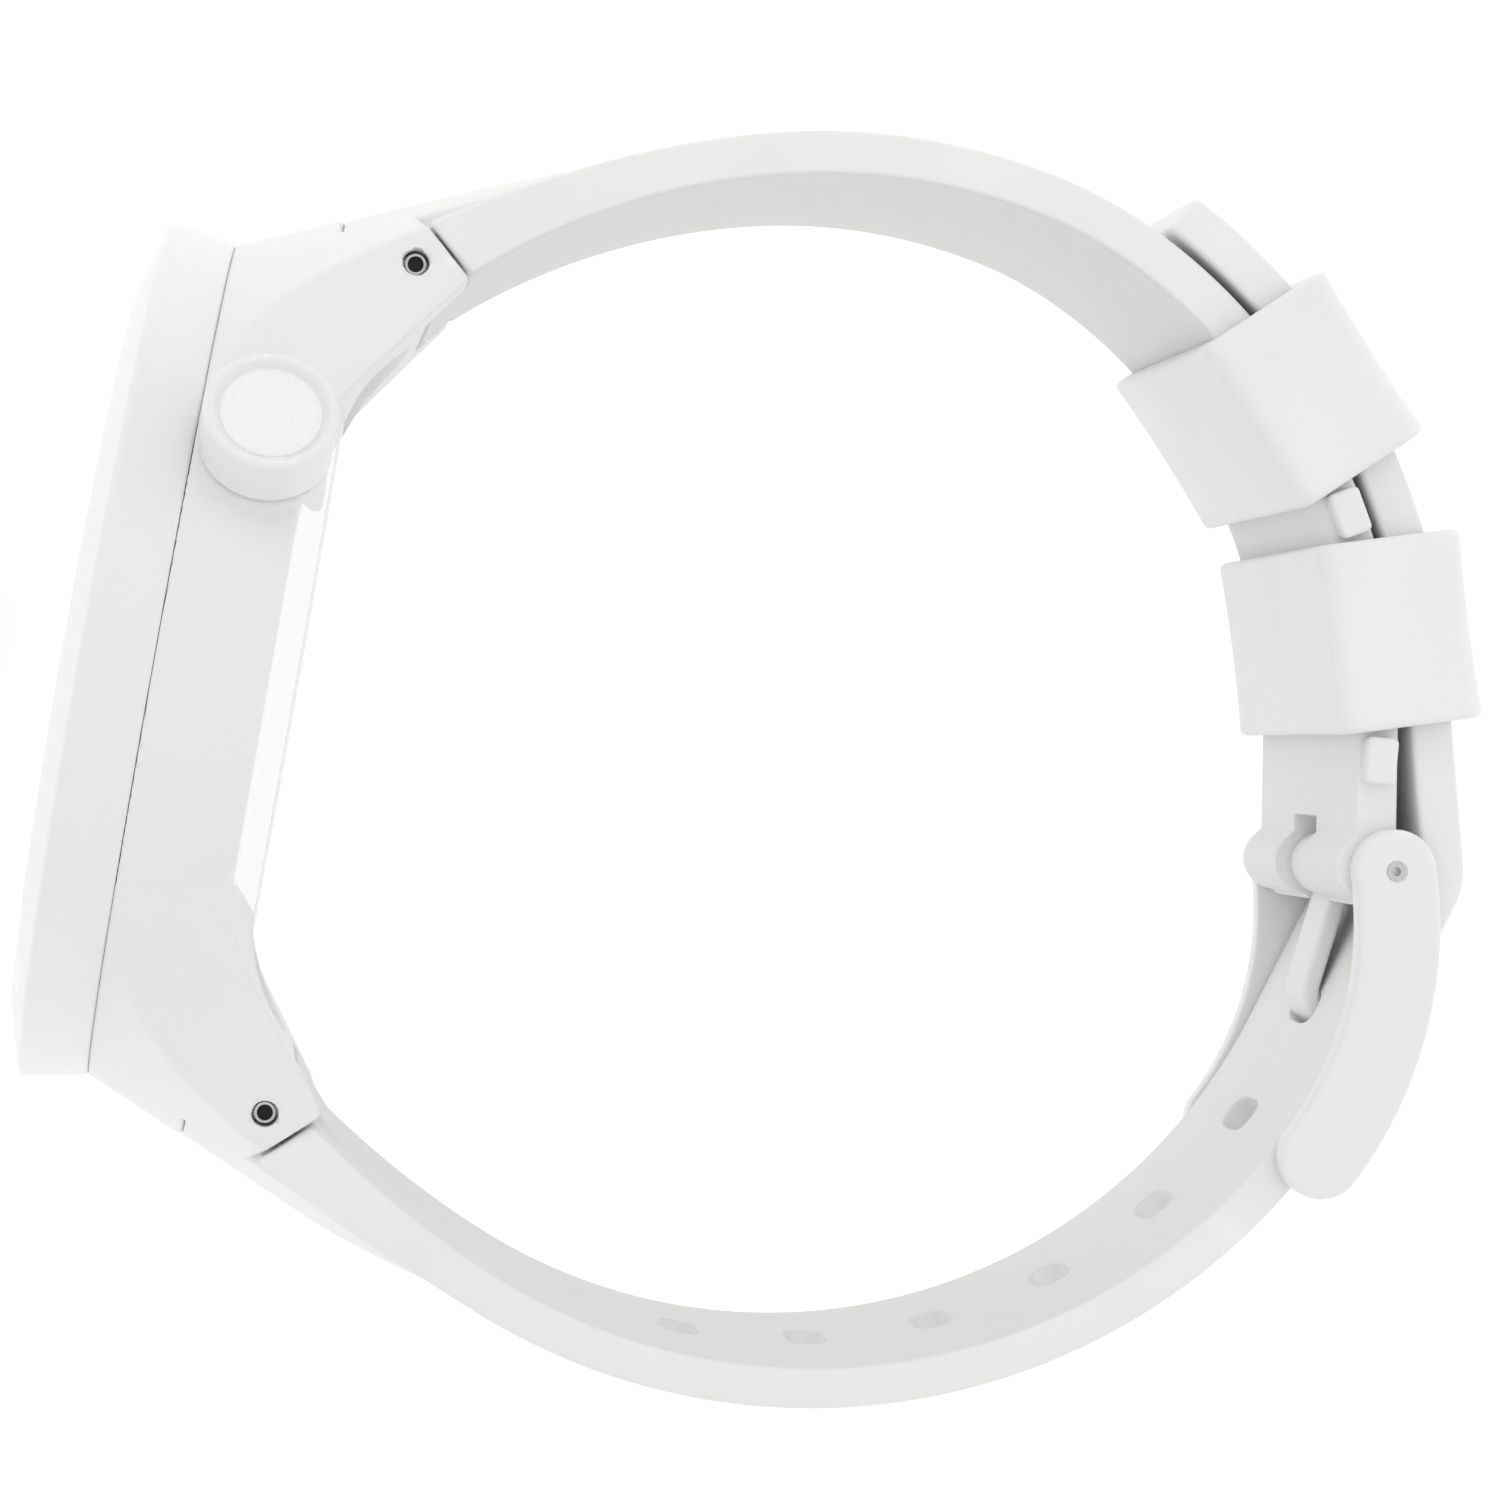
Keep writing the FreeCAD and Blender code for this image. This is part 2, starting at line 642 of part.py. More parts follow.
def battery():
    y, z = battery_centre
    can = disc(battery_radius, -5.8, -2.75, y, z)
    return can.makeFillet(0.5, [e for e in can.Edges if e.Closed])


def battery_leads():
    y, z = battery_centre
    strips = []
    for k in (-1, 1):
        strips.append(box(board_x[1], -4.0, y - 10.6, y - 10.2, z + 2.0 * k - 0.6, z + 2.0 * k + 0.6))
    return Part.makeCompound(strips)


def motor_case():
    x0, x1 = motor_x
    y, z = motor_centre
    shell = disc(4.0, x0, x1, y, z).cut(disc(3.75, x0 + 0.25, x1 - 0.25, y, z))
    return shell.cut(disc(0.35, x0, x1, y, z))


def motor_shaft():
    y, z = motor_centre
    return disc(0.35, motor_x[0], motor_x[1], y, z)


def motor_rotor():
    x0, x1 = motor_x
    y, z = motor_centre
    half = disc(3.45, x0 + 0.6, x1 - 0.6, y, z).cut(box(x0, x1, y - 4, y, z - 4, z + 4))
    hub = disc(1.0, x0 + 0.6, x1 - 0.6, y, z)
    return half.fuse(hub).cut(disc(0.38, x0, x1, y, z)).removeSplitter()


nodes = {
    "case_middle": case_middle,
    "bezel": bezel,
    "bezel_gasket": lambda: ring(20.9, 20.0, -9.0, -8.8),
    "crystal": crystal,
    "crystal_gasket": lambda: ring(crystal_radius, 18.55, -10.5, -10.15),
    "dial_ring": dial_ring,
    "display_panel": display_panel,
    "display_backing": display_backing,
    "display_carrier": display_carrier,
    "display_flex": display_flex,
    "gps_antenna": gps_antenna,
    "main_board": main_board,
    "board_screws": board_screws,
    "processor_shield": processor_shield,
    "processor": processor,
    "gps_receiver": gps_receiver,
    "battery": battery,
    "battery_leads": battery_leads,
    "motor_case": motor_case,
    "motor_shaft": motor_shaft,
    "motor_rotor": motor_rotor,
    "case_back": case_back,
    "case_back_screws": case_back_screws,
    "back_gasket": lambda: ring(flange_radius, flange_radius - 0.3, -2.05, -1.7),
    "contact_block": contact_block,
    "charging_contacts": charging_contacts,
    "crown_cap": crown_cap,
    "crown_stem": crown_stem,
    "crown_seals": crown_seals,
    "crown_tube": crown_tube,
    "encoder_wheel": encoder_wheel,
    "encoder_sensor": encoder_sensor,
    "crown_thrust_plate": crown_thrust_plate,
    "crown_bracket": crown_bracket,
    "crown_switch": crown_switch,
    "lug_pin_upper": lambda: lug_pin_solid(1),
    "lug_pin_lower": lambda: lug_pin_solid(-1),
    "strap_short": strap_short,
    "strap_long": strap_long,
    "keeper_upper": lambda: keeper(keeper_angles[0]),
    "keeper_lower": lambda: keeper(keeper_angles[1]),
    "buckle_frame": buckle_frame,
    "buckle_pin": buckle_pin_solid,
    "buckle_tongue": buckle_tongue,
}

os.makedirs("parts", exist_ok=True)
for name, make in nodes.items():
    shape = make()
    shape.exportStep("parts/%s.step" % name)
    extent = shape.BoundBox
    print("%-20s valid %s solids %d volume %.2f x %.1f %.1f y %.1f %.1f z %.1f %.1f" % (
        name, shape.isValid(), len(shape.Solids), shape.Volume,
        extent.XMin, extent.XMax, extent.YMin, extent.YMax, extent.ZMin, extent.ZMax))
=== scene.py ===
# White round sports watch with a satellite receiver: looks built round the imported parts.
# Lengths are in millimetres until a mesh is made, which is in metres.
import math

import bmesh
import bpy
import numpy as np
from mathutils import Matrix


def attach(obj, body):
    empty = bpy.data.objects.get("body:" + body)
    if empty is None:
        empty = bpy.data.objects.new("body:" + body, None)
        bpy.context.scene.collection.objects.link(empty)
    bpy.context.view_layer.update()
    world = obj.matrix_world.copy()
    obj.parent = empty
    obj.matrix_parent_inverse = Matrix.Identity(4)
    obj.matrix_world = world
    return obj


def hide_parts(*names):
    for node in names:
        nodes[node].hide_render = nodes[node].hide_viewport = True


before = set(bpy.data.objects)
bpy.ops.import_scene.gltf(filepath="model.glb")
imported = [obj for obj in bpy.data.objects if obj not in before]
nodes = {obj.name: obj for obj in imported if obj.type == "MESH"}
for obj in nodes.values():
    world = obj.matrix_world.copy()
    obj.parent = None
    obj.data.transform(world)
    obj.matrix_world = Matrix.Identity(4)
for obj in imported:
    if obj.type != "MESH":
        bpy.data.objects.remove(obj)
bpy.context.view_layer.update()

mm = 0.001
print("stage: frame loaded,", len(nodes), "nodes")


# Meshes from whole arrays

def gridFaces(rows, cols, wrapRows=False, wrapCols=False):
    # quads between neighbouring points of a rows x cols grid, closed on itself where asked
    r, c = np.meshgrid(np.arange(rows if wrapRows else rows - 1),
                       np.arange(cols if wrapCols else cols - 1), indexing="ij")
    r1, c1 = (r + 1) % rows, (c + 1) % cols
    return np.stack([r * cols + c, r1 * cols + c, r1 * cols + c1, r * cols + c1], -1).reshape(-1, 4)


def gridShell(points, wrapRows=False, wrapCols=True):
    rows, cols = points.shape[:2]
    return points.reshape(-1, 3), gridFaces(rows, cols, wrapRows, wrapCols).tolist()


def joinShells(shells):
    points, faces, start = [], [], 0
    for p, f in shells:
        points.append(p)
        faces += [[i + start for i in face] for face in f]
        start += len(p)
    return np.concatenate(points), faces


def makeObject(name, shell):
    # a closed mesh object in metres, doubles merged and faces turned outwards
    points, faces = shell
    mesh = bpy.data.meshes.new(name)
    mesh.from_pydata((np.asarray(points) * mm).tolist(), [], faces)
    work = bmesh.new()
    work.from_mesh(mesh)
    bmesh.ops.remove_doubles(work, verts=work.verts, dist=2e-7)
    bmesh.ops.dissolve_degenerate(work, edges=work.edges, dist=1e-7)
    bmesh.ops.recalc_face_normals(work, faces=work.faces)
    work.to_mesh(mesh)
    work.free()
    made = bpy.data.objects.new(name, mesh)
    bpy.context.scene.collection.objects.link(made)
    return made


def carve(target, shells, operation="DIFFERENCE"):
    # cuts or adds closed shells, and keeps the result as the target's own mesh
    tool = makeObject("tool", joinShells(shells))
    change = target.modifiers.new("carve", "BOOLEAN")
    change.operation = operation
    change.solver = "EXACT"
    change.use_self = operation == "UNION"
    change.object = tool
    bpy.context.view_layer.update()
    result = bpy.data.meshes.new_from_object(target.evaluated_get(bpy.context.evaluated_depsgraph_get()))
    target.modifiers.clear()
    old, target.data = target.data, result
    bpy.data.meshes.remove(old)
    bpy.data.objects.remove(tool)
    return target


def finishPiece(made, body, material, standsFor=(), sharpAbove=38):
    mesh = made.data
    mesh.materials.clear()
    mesh.materials.append(material)
    mesh.shade_smooth()
    mesh.set_sharp_from_angle(angle=math.radians(sharpAbove))
    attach(made, body)
    if standsFor:
        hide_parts(*standsFor)
    return made


def softMin(a, b, k):
    h = np.clip(0.5 + 0.5 * (b - a) / k, 0, 1)
    return b * (1 - h) + a * h - k * h * (1 - h)


def softMax(a, b, k):
    return -softMin(-a, -b, k)


def polar(angle, radius, centre=(0.0, 0.0)):
    a = np.radians(angle)
    return np.stack([centre[0] + radius * np.cos(a), centre[1] + radius * np.sin(a)], -1)


def eased(table, x):
    # smooth curve through a short table: cubic pieces whose slopes come from their neighbours
    t = np.array(table, float)
    slope = np.gradient(t[:, 1], t[:, 0])
    x = np.clip(x, t[0, 0], t[-1, 0])
    k = np.clip(np.searchsorted(t[:, 0], x) - 1, 0, len(t) - 2)
    h = t[k + 1, 0] - t[k, 0]
    u = (x - t[k, 0]) / h
    return ((2 * u**3 - 3 * u**2 + 1) * t[k, 1] + (u**3 - 2 * u**2 + u) * h * slope[k]
            + (3 * u**2 - 2 * u**3) * t[k + 1, 1] + (u**3 - u**2) * h * slope[k + 1])


def roundCorners(corners, radii, steps=6):
    # closed outline whose corners are replaced by arcs that touch both sides
    pts = np.array(corners, float)
    out = []
    for k in range(len(pts)):
        p, a, b = pts[k], pts[k - 1], pts[(k + 1) % len(pts)]
        u, v = (a - p) / np.linalg.norm(a - p), (b - p) / np.linalg.norm(b - p)
        radius = radii[k] if isinstance(radii, (list, tuple)) else radii
        half = math.acos(float(np.clip(u @ v, -1, 1))) / 2
        if radius <= 0 or half > 1.55:
            out.append(p[None])
            continue
        reach = radius / math.tan(half)
        centre = p + (u + v) / np.linalg.norm(u + v) * radius / math.sin(half)
        first, last = p + u * reach - centre, p + v * reach - centre
        turn = math.atan2(first[0] * last[1] - first[1] * last[0], first @ last)
        a0 = math.atan2(first[1], first[0])
        angles = a0 + turn * np.linspace(0, 1, steps + 1)
        out.append(centre + radius * np.stack([np.cos(angles), np.sin(angles)], -1))
    return np.concatenate(out)


def oblong(halfU, halfV, radius, steps):
    corners = [(-halfU, -halfV), (halfU, -halfV), (halfU, halfV), (-halfU, halfV)]
    return roundCorners(corners, radius, steps)


def refine(outline, longest):
    # splits the long straight sides of a closed outline
    nxt = np.roll(outline, -1, 0)
    parts = []
    for p, q in zip(outline, nxt):
        n = max(1, int(math.ceil(np.linalg.norm(q - p) / longest)))
        parts.append(p + (q - p) * (np.arange(n) / n)[:, None])
    return np.concatenate(parts)


def outwardNormals(outline):
    # direction out of a closed outline at each of its points, scaled so that offsets stay even
    following = np.roll(outline, -1, 0)
    ahead = following - outline
    ahead /= np.linalg.norm(ahead, axis=1, keepdims=True)
    behind = np.roll(ahead, 1, 0)
    area = 0.5 * np.sum(outline[:, 0] * following[:, 1] - following[:, 0] * outline[:, 1])
    turn = lambda d: np.stack([d[:, 1], -d[:, 0]], -1) * np.sign(area)
    n = turn(ahead) + turn(behind)
    return n / (1 + np.sum(ahead * behind, 1, keepdims=True))


def prism(outline, low, high, rim=0.2, rimLow=None, frameAxes=None, origin=(0, 0, 0), steps=5):
    # an outline pushed along its normal, with both rims rounded: at angle t round a rim the
    # outline is moved in by rim*(1-cos t) while it rises by rim*sin t; a negative rim flares out
    rimLow = rim if rimLow is None else rimLow
    n = outwardNormals(outline)
    t = np.linspace(0, math.pi / 2, steps + 1)
    inset = np.concatenate([rimLow * (1 - np.cos(t[::-1])), rim * (1 - np.cos(t))])
    height = np.concatenate([low + abs(rimLow) * (1 - np.sin(t[::-1])), high - abs(rim) * (1 - np.sin(t))])
    flat = outline[None] - n[None] * inset[:, None, None]
    local = np.concatenate([flat, np.broadcast_to(height[:, None, None], flat.shape[:2] + (1,))], -1)
    rows, cols = local.shape[:2]
    faces = gridFaces(rows, cols, False, True).tolist()
    faces += [list(range(cols)), list(range((rows - 1) * cols, rows * cols))]
    axes = np.eye(3) if frameAxes is None else np.array(frameAxes, float)
    return local.reshape(-1, 3) @ axes + np.array(origin, float), faces


def lathe(profile, origin, axis, across, count=180):
    # a closed (height, radius) profile turned about an axis
    axis, across = np.array(axis, float), np.array(across, float)
    other = np.cross(axis, across)
    a = np.linspace(0, 2 * math.pi, count, endpoint=False)
    spoke = across[None] * np.cos(a)[:, None] + other[None] * np.sin(a)[:, None]
    pts = (np.array(origin, float) + profile[None, :, 0, None] * axis
           + profile[None, :, 1, None] * spoke[:, None, :])
    return gridShell(pts, wrapRows=True, wrapCols=True)


def fieldSurface(field, low, high, cell):
    # Skin of the solid where field(x, y, z) < 0. Each grid cell that the skin crosses gets one
    # point, the mean of its crossed edges, four cells round a crossed edge make a quad, and the
    # points are then stepped along the field's slope on to the skin.
    axes = [np.arange(a, b + cell, cell) for a, b in zip(low, high)]
    f = field(*np.meshgrid(*axes, indexing="ij")).astype(np.float32)
    n = np.array(f.shape)
    corner = lambda d: f[d[0]:n[0] - 1 + d[0], d[1]:n[1] - 1 + d[1], d[2]:n[2] - 1 + d[2]]
    offsets = [(i, j, k) for i in (0, 1) for j in (0, 1) for k in (0, 1)]
    count = sum((corner(d) < 0).astype(np.int8) for d in offsets)
    active = (count > 0) & (count < 8)
    index = np.full(active.shape, -1, np.int64)
    index[active] = np.arange(active.sum())
    where = np.argwhere(active)
    total, hits = np.zeros((len(where), 3)), np.zeros(len(where))
    for a in offsets:
        for axis in range(3):
            if a[axis]:
                continue
            b = tuple(v + (m == axis) for m, v in enumerate(a))
            fa, fb = corner(a)[active], corner(b)[active]
            crossed = (fa < 0) != (fb < 0)
            t = np.where(crossed, fa / np.where(crossed, fa - fb, 1), 0)
            point = where + np.array(a)
            total += (point + t[:, None] * np.eye(3)[axis]) * crossed[:, None]
            hits += crossed
    points = np.array(low) + total / hits[:, None] * cell
    faces = []
    for axis in range(3):
        u, v = [k for k in range(3) if k != axis]
        cut = [slice(1, -1)] * 3
        cut[axis] = slice(0, -1)
        ahead = list(cut)
        ahead[axis] = slice(1, None)
        a, b = f[tuple(cut)] < 0, f[tuple(ahead)] < 0
        base = np.argwhere(a != b) + np.array([0 if k == axis else 1 for k in range(3)])
        eu, ev = np.eye(3, dtype=int)[u], np.eye(3, dtype=int)[v]
        ring = [base - eu - ev, base - ev, base, base - eu]
        faces.append(np.stack([index[tuple(r.T)] for r in ring], -1))
    step = cell * 0.2
    for _ in range(4):
        value = field(*points.T)
        slope = np.stack([(field(*(points + step * e).T) - field(*(points - step * e).T)) / (2 * step)
                          for e in np.eye(3)], -1)
        move = -value[:, None] * slope / np.maximum(np.sum(slope**2, 1, keepdims=True), 0.2)
        points = points + np.clip(move, -cell * 0.5, cell * 0.5)
    return points, np.concatenate(faces).tolist()


# Shader expressions

class Wire:
    # one socket of a node tree, with the operators that a value needs
    def __init__(self, graph, socket):
        self.graph, self.socket = graph, socket

    def math(self, operation, *others):
        return self.graph.node("ShaderNodeMath", {"operation": operation},
                               dict(enumerate((self,) + others))).out()

    def __add__(self, other): return self.math("ADD", other)
    def __radd__(self, other): return self.math("ADD", other)
    def __mul__(self, other): return self.math("MULTIPLY", other)
    def __rmul__(self, other): return self.math("MULTIPLY", other)
    def __sub__(self, other): return self.math("SUBTRACT", other)
    def __neg__(self): return self.math("MULTIPLY", -1.0)
    def __rsub__(self, other): return (-self).math("ADD", other)
    def __truediv__(self, other): return self.math("DIVIDE", other)
    def __rtruediv__(self, other): return self.math("POWER", -1.0).math("MULTIPLY", other)
    def clamped(self): return self.math("MAXIMUM", 0.0).math("MINIMUM", 1.0)
    def between(self, low, high): return ((self - low) / (high - low)).clamped()


class Made:
    def __init__(self, graph, node):
        self.graph, self.node = graph, node

    def out(self, name=0):
        return Wire(self.graph, self.node.outputs[name])


class Graph:
    # a material's node tree; node() is the one way in which a node is made
    def __init__(self, name):
        self.material = bpy.data.materials.new(name)
        self.material.use_nodes = True
        self.tree = self.material.node_tree
        self.tree.nodes.clear()
        self.end = self.tree.nodes.new("ShaderNodeOutputMaterial")
        self.spot = self.node("ShaderNodeTexCoord").out("Object")

    def node(self, kind, settings=None, inputs=None):
        made = self.tree.nodes.new(kind)
        for key, value in (settings or {}).items():
            setattr(made, key, value)
        for key, value in (inputs or {}).items():
            if isinstance(value, Wire):
                self.tree.links.new(value.socket, made.inputs[key])
            else:
                made.inputs[key].default_value = value
        return Made(self, made)

    def noise(self, scale, detail=2.0, roughness=0.5, at=None):
        return self.node("ShaderNodeTexNoise", None, {"Vector": at or self.spot, "Scale": scale,
                                                      "Detail": detail, "Roughness": roughness}).out("Fac")

    def cells(self, scale):
        return self.node("ShaderNodeTexVoronoi", None, {"Vector": self.spot, "Scale": scale}).out("Distance")

    def mix(self, factor, a, b):
        return self.node("ShaderNodeMix", {"data_type": "RGBA"}, {0: factor, 6: a, 7: b}).out(2)

    def bump(self, height, depth, strength):
        return self.node("ShaderNodeBump", None,
                         {"Height": height, "Distance": depth * mm, "Strength": strength}).out("Normal")

    def parts(self, vector):
        made = self.node("ShaderNodeSeparateXYZ", None, {0: vector})
        return [made.out(k) for k in range(3)]

    def edgeWear(self):
        # near 1 on sharp outer edges, from how the surface points round about
        return self.node("ShaderNodeNewGeometry").out("Pointiness").between(0.53, 0.62)

    def finish(self, **values):
        shader = self.node("ShaderNodeBsdfPrincipled", None,
                           {key.replace("_", " "): value for key, value in values.items()})
        self.tree.links.new(shader.node.outputs[0], self.end.inputs["Surface"])
        return self.material


def rgb(r, g, b):
    return (r, g, b, 1.0)


def grey(tone):
    return rgb(tone, tone, tone)


def mouldedWhite(name, look):
    # smooth moulded plastic: slow clouding of tone and gloss, a very fine skin and pale edges
    g = Graph(name)
    cloud = g.noise(look["cloudScale"], 3.0)
    skin = g.noise(look["skinScale"], 2.0, 0.6)
    colour = g.mix(cloud.clamped(), look["dark"], look["light"])
    colour = g.mix(g.edgeWear() * look["edge"], colour, look["edgeColour"])
    rough = (look["roughness"] + (cloud - 0.5) * look["roughSpread"] + (skin - 0.5) * 0.08).clamped()
    return g.finish(Base_Color=colour, Roughness=rough, Coat_Weight=look["coat"], Coat_Roughness=0.25,
                    Specular_IOR_Level=0.45, Normal=g.bump(skin, look["skinDepth"], 0.6))


def rubberWhite(name, look):
    # matte moulded rubber: fine pebbled grain, dust-soft sheen and a faint warm clouding
    g = Graph(name)
    cloud = g.noise(look["cloudScale"], 4.0, 0.55)
    grain = g.noise(look["grainScale"], 3.0, 0.65)
    pits = g.cells(look["pitScale"]).between(0.0, 0.55)
    colour = g.mix(cloud.between(0.3, 0.7), look["dark"], look["light"])
    colour = g.mix(g.edgeWear() * 0.5, colour, look["edgeColour"])
    if "wrist" in look:
        # the side facing the middle of the wrist loop is painted duller, partly a duller skin side and partly
        # painted shade inside the loop, less so by the buckle
        x, y = g.parts(g.spot)[:2]
        nx, ny = g.parts(g.node("ShaderNodeNewGeometry").out("Normal"))[:2]
        away = nx * (x - look["wrist"][0] * mm) + ny * (y - look["wrist"][1] * mm)
        facing = (away * -1.0 / mm).between(*look["wristShadeDepth"])
        shadeFading = 1 - (x / mm).between(*look["wristShadeFade"]) * 0.7
        colour = g.mix(facing * shadeFading, colour, look["wristShadeColour"])
    rough = (look["roughness"] + (grain - 0.5) * 0.14).clamped()
    height = grain * 0.7 + pits * 0.3
    return g.finish(Base_Color=colour, Roughness=rough, Sheen_Weight=0.15, Sheen_Roughness=0.5,
                    Specular_IOR_Level=0.35, Normal=g.bump(height, look["grainDepth"], 0.7))


plasticBase = {"edge": 0.6, "roughSpread": 0.06, "skinScale": 5200.0, "skinDepth": 0.008}
plasticLooks = {
    "shellWhite": {"dark": rgb(0.79, 0.79, 0.785), "light": rgb(0.83, 0.83, 0.825), "edgeColour": grey(0.88),
                   "roughness": 0.46, "roughSpread": 0.08, "coat": 0.04, "cloudScale": 90.0,
                   "skinDepth": 0.012},
    "bezelWhite": {"dark": grey(0.80), "light": grey(0.84), "edgeColour": grey(0.9), "roughness": 0.36,
                   "coat": 0.1, "cloudScale": 70.0, "skinDepth": 0.006},
    "backWhite": {"dark": grey(0.84), "light": grey(0.88), "edgeColour": grey(0.92), "roughness": 0.2,
                  "roughSpread": 0.05, "coat": 0.4, "cloudScale": 60.0, "skinScale": 4200.0,
                  "skinDepth": 0.004},
    "ringWhite": {"dark": grey(0.97), "light": grey(0.99), "edgeColour": grey(1.0), "edge": 0.5,
                  "roughness": 0.12, "roughSpread": 0.04, "coat": 1.0, "cloudScale": 60.0,
                  "skinScale": 4200.0, "skinDepth": 0.002},
    "crownWhite": {"dark": rgb(0.80, 0.80, 0.806), "light": rgb(0.84, 0.84, 0.846),
                   "edgeColour": rgb(0.91, 0.91, 0.915), "roughness": 0.36, "roughSpread": 0.05, "coat": 0.1,
                   "cloudScale": 160.0},
    "buckleWhite": {"dark": grey(0.80), "light": grey(0.84), "edgeColour": grey(0.91), "edge": 0.7,
                    "roughness": 0.38, "coat": 0.08, "cloudScale": 90.0, "skinScale": 4800.0},
    "tongueWhite": {"dark": rgb(0.78, 0.78, 0.775), "light": rgb(0.82, 0.82, 0.815), "edgeColour": grey(0.88),
                    "edge": 0.5, "roughness": 0.44, "coat": 0.03, "cloudScale": 120.0, "skinScale": 4800.0},
}
rubberLooks = {
    # the strap's wrist colour is partly painted shade on the inside of the loop
    "strapWhite": {"dark": rgb(0.81, 0.807, 0.795), "light": rgb(0.85, 0.848, 0.838),
                   "edgeColour": rgb(0.88, 0.88, 0.872), "wrist": (28.0, 0.5), "wristShadeDepth": (6.0, 24.0),
                   "wristShadeFade": (44.0, 58.0), "wristShadeColour": rgb(0.745, 0.741, 0.727), "roughness": 0.62,
                   "cloudScale": 110.0, "grainScale": 6500.0, "pitScale": 5200.0, "grainDepth": 0.03},
    "keeperWhite": {"dark": rgb(0.82, 0.82, 0.815), "light": rgb(0.86, 0.86, 0.855), "edgeColour": grey(0.88),
                    "roughness": 0.5, "cloudScale": 120.0, "grainScale": 6000.0, "pitScale": 5200.0,
                    "grainDepth": 0.022},
}
finishes = {name: mouldedWhite(name, {**plasticBase, **look}) for name, look in plasticLooks.items()}
finishes.update({name: rubberWhite(name, look) for name, look in rubberLooks.items()})


def crownDiscWhite():
    # the fine sand-like surface of the disc that fills the end of the crown
    g = Graph("crownDiscWhite")
    grain = g.cells(9000.0).between(0.1, 0.7)
    fine = g.noise(14000.0, 2.0)
    colour = g.mix(grain, rgb(0.83, 0.84, 0.855), rgb(0.88, 0.89, 0.905))
    return g.finish(Base_Color=colour, Roughness=(0.5 + (fine - 0.5) * 0.2).clamped(), Specular_IOR_Level=0.4,
                    Normal=g.bump(grain * 0.7 + fine * 0.3, 0.02, 0.6))


def drawnMetal(name, colour, roughness, stretch):
    # bar or sheet metal with drawn lines along the stretched direction
    g = Graph(name)
    at = g.node("ShaderNodeMapping", None, {"Vector": g.spot, "Scale": stretch}).out()
    lines = g.noise(1.0, 4.0, 0.6, at=at)
    stain = g.noise(400.0, 3.0)
    tint = g.mix(stain.between(0.35, 0.75), colour, tuple(c * 0.82 for c in colour[:3]) + (1.0,))
    return g.finish(Base_Color=tint, Metallic=1.0, Roughness=(roughness + (lines - 0.5) * 0.25).clamped(),
                    Normal=g.bump(lines, 0.006, 0.6))


def darkMoulding(name, colour, roughness, scale=3000.0):
    g = Graph(name)
    grain = g.noise(scale, 3.0)
    cloud = g.noise(200.0, 2.0)
    shade = g.mix(cloud, colour, tuple(min(1.0, c * 1.5 + 0.004) for c in colour[:3]) + (1.0,))
    return g.finish(Base_Color=shade, Roughness=(roughness + (grain - 0.5) * 0.15).clamped(),
                    Normal=g.bump(grain, 0.012, 0.5))


def circuitBoard():
    # green lacquer with copper runs under it: bands of a coarse grid that a noise switches on
    g = Graph("boardGreen")
    x, y, z = g.parts(g.spot)
    wander = g.noise(260.0, 1.0)
    runsY, runsZ = [(v * 2600.0).math("FRACT").math("LESS_THAN", 0.32) for v in (y, z)]
    runs = runsY * wander.math("GREATER_THAN", 0.52) + runsZ * wander.math("LESS_THAN", 0.46)
    colour = g.mix(runs.clamped(), rgb(0.012, 0.09, 0.04), rgb(0.05, 0.22, 0.09))
    return g.finish(Base_Color=colour, Roughness=(0.3 + runs * 0.06).clamped(), Coat_Weight=0.3,
                    Normal=g.bump(runs, 0.02, 0.5))


def crystalGlass():
    g = Graph("crystalGlass")
    smear = g.noise(180.0, 3.0)
    return g.finish(Base_Color=rgb(0.97, 0.985, 0.99), Roughness=(0.015 + smear * 0.02).clamped(), IOR=1.5,
                    Transmission_Weight=1.0, Alpha=1.0)


finishes.update({
    "crownDisc": crownDiscWhite(),
    "pinSteel": drawnMetal("pinSteel", grey(0.62), 0.3, (6000.0, 6000.0, 500.0)),
    "sheetSteel": drawnMetal("sheetSteel", rgb(0.6, 0.61, 0.62), 0.34, (500.0, 5000.0, 900.0)),
    "goldPlate": drawnMetal("goldPlate", rgb(0.83, 0.6, 0.25), 0.25, (3000.0, 3000.0, 3000.0)),
    "copperFilm": drawnMetal("copperFilm", rgb(0.72, 0.4, 0.26), 0.35, (3000.0, 3000.0, 3000.0)),
    "tungsten": drawnMetal("tungsten", rgb(0.3, 0.3, 0.32), 0.4, (3000.0, 3000.0, 3000.0)),
    "sealBlack": darkMoulding("sealBlack", grey(0.012), 0.6),
    "carrierBlack": darkMoulding("carrierBlack", rgb(0.02, 0.02, 0.022), 0.5),
    "chipBlack": darkMoulding("chipBlack", rgb(0.015, 0.015, 0.017), 0.55, 5200.0),
    "ceramic": darkMoulding("ceramic", rgb(0.55, 0.52, 0.45), 0.5, 5200.0),
    "flexAmber": darkMoulding("flexAmber", rgb(0.42, 0.18, 0.03), 0.3),
    "boardGreen": circuitBoard(),
    "crystalGlass": crystalGlass(),
})

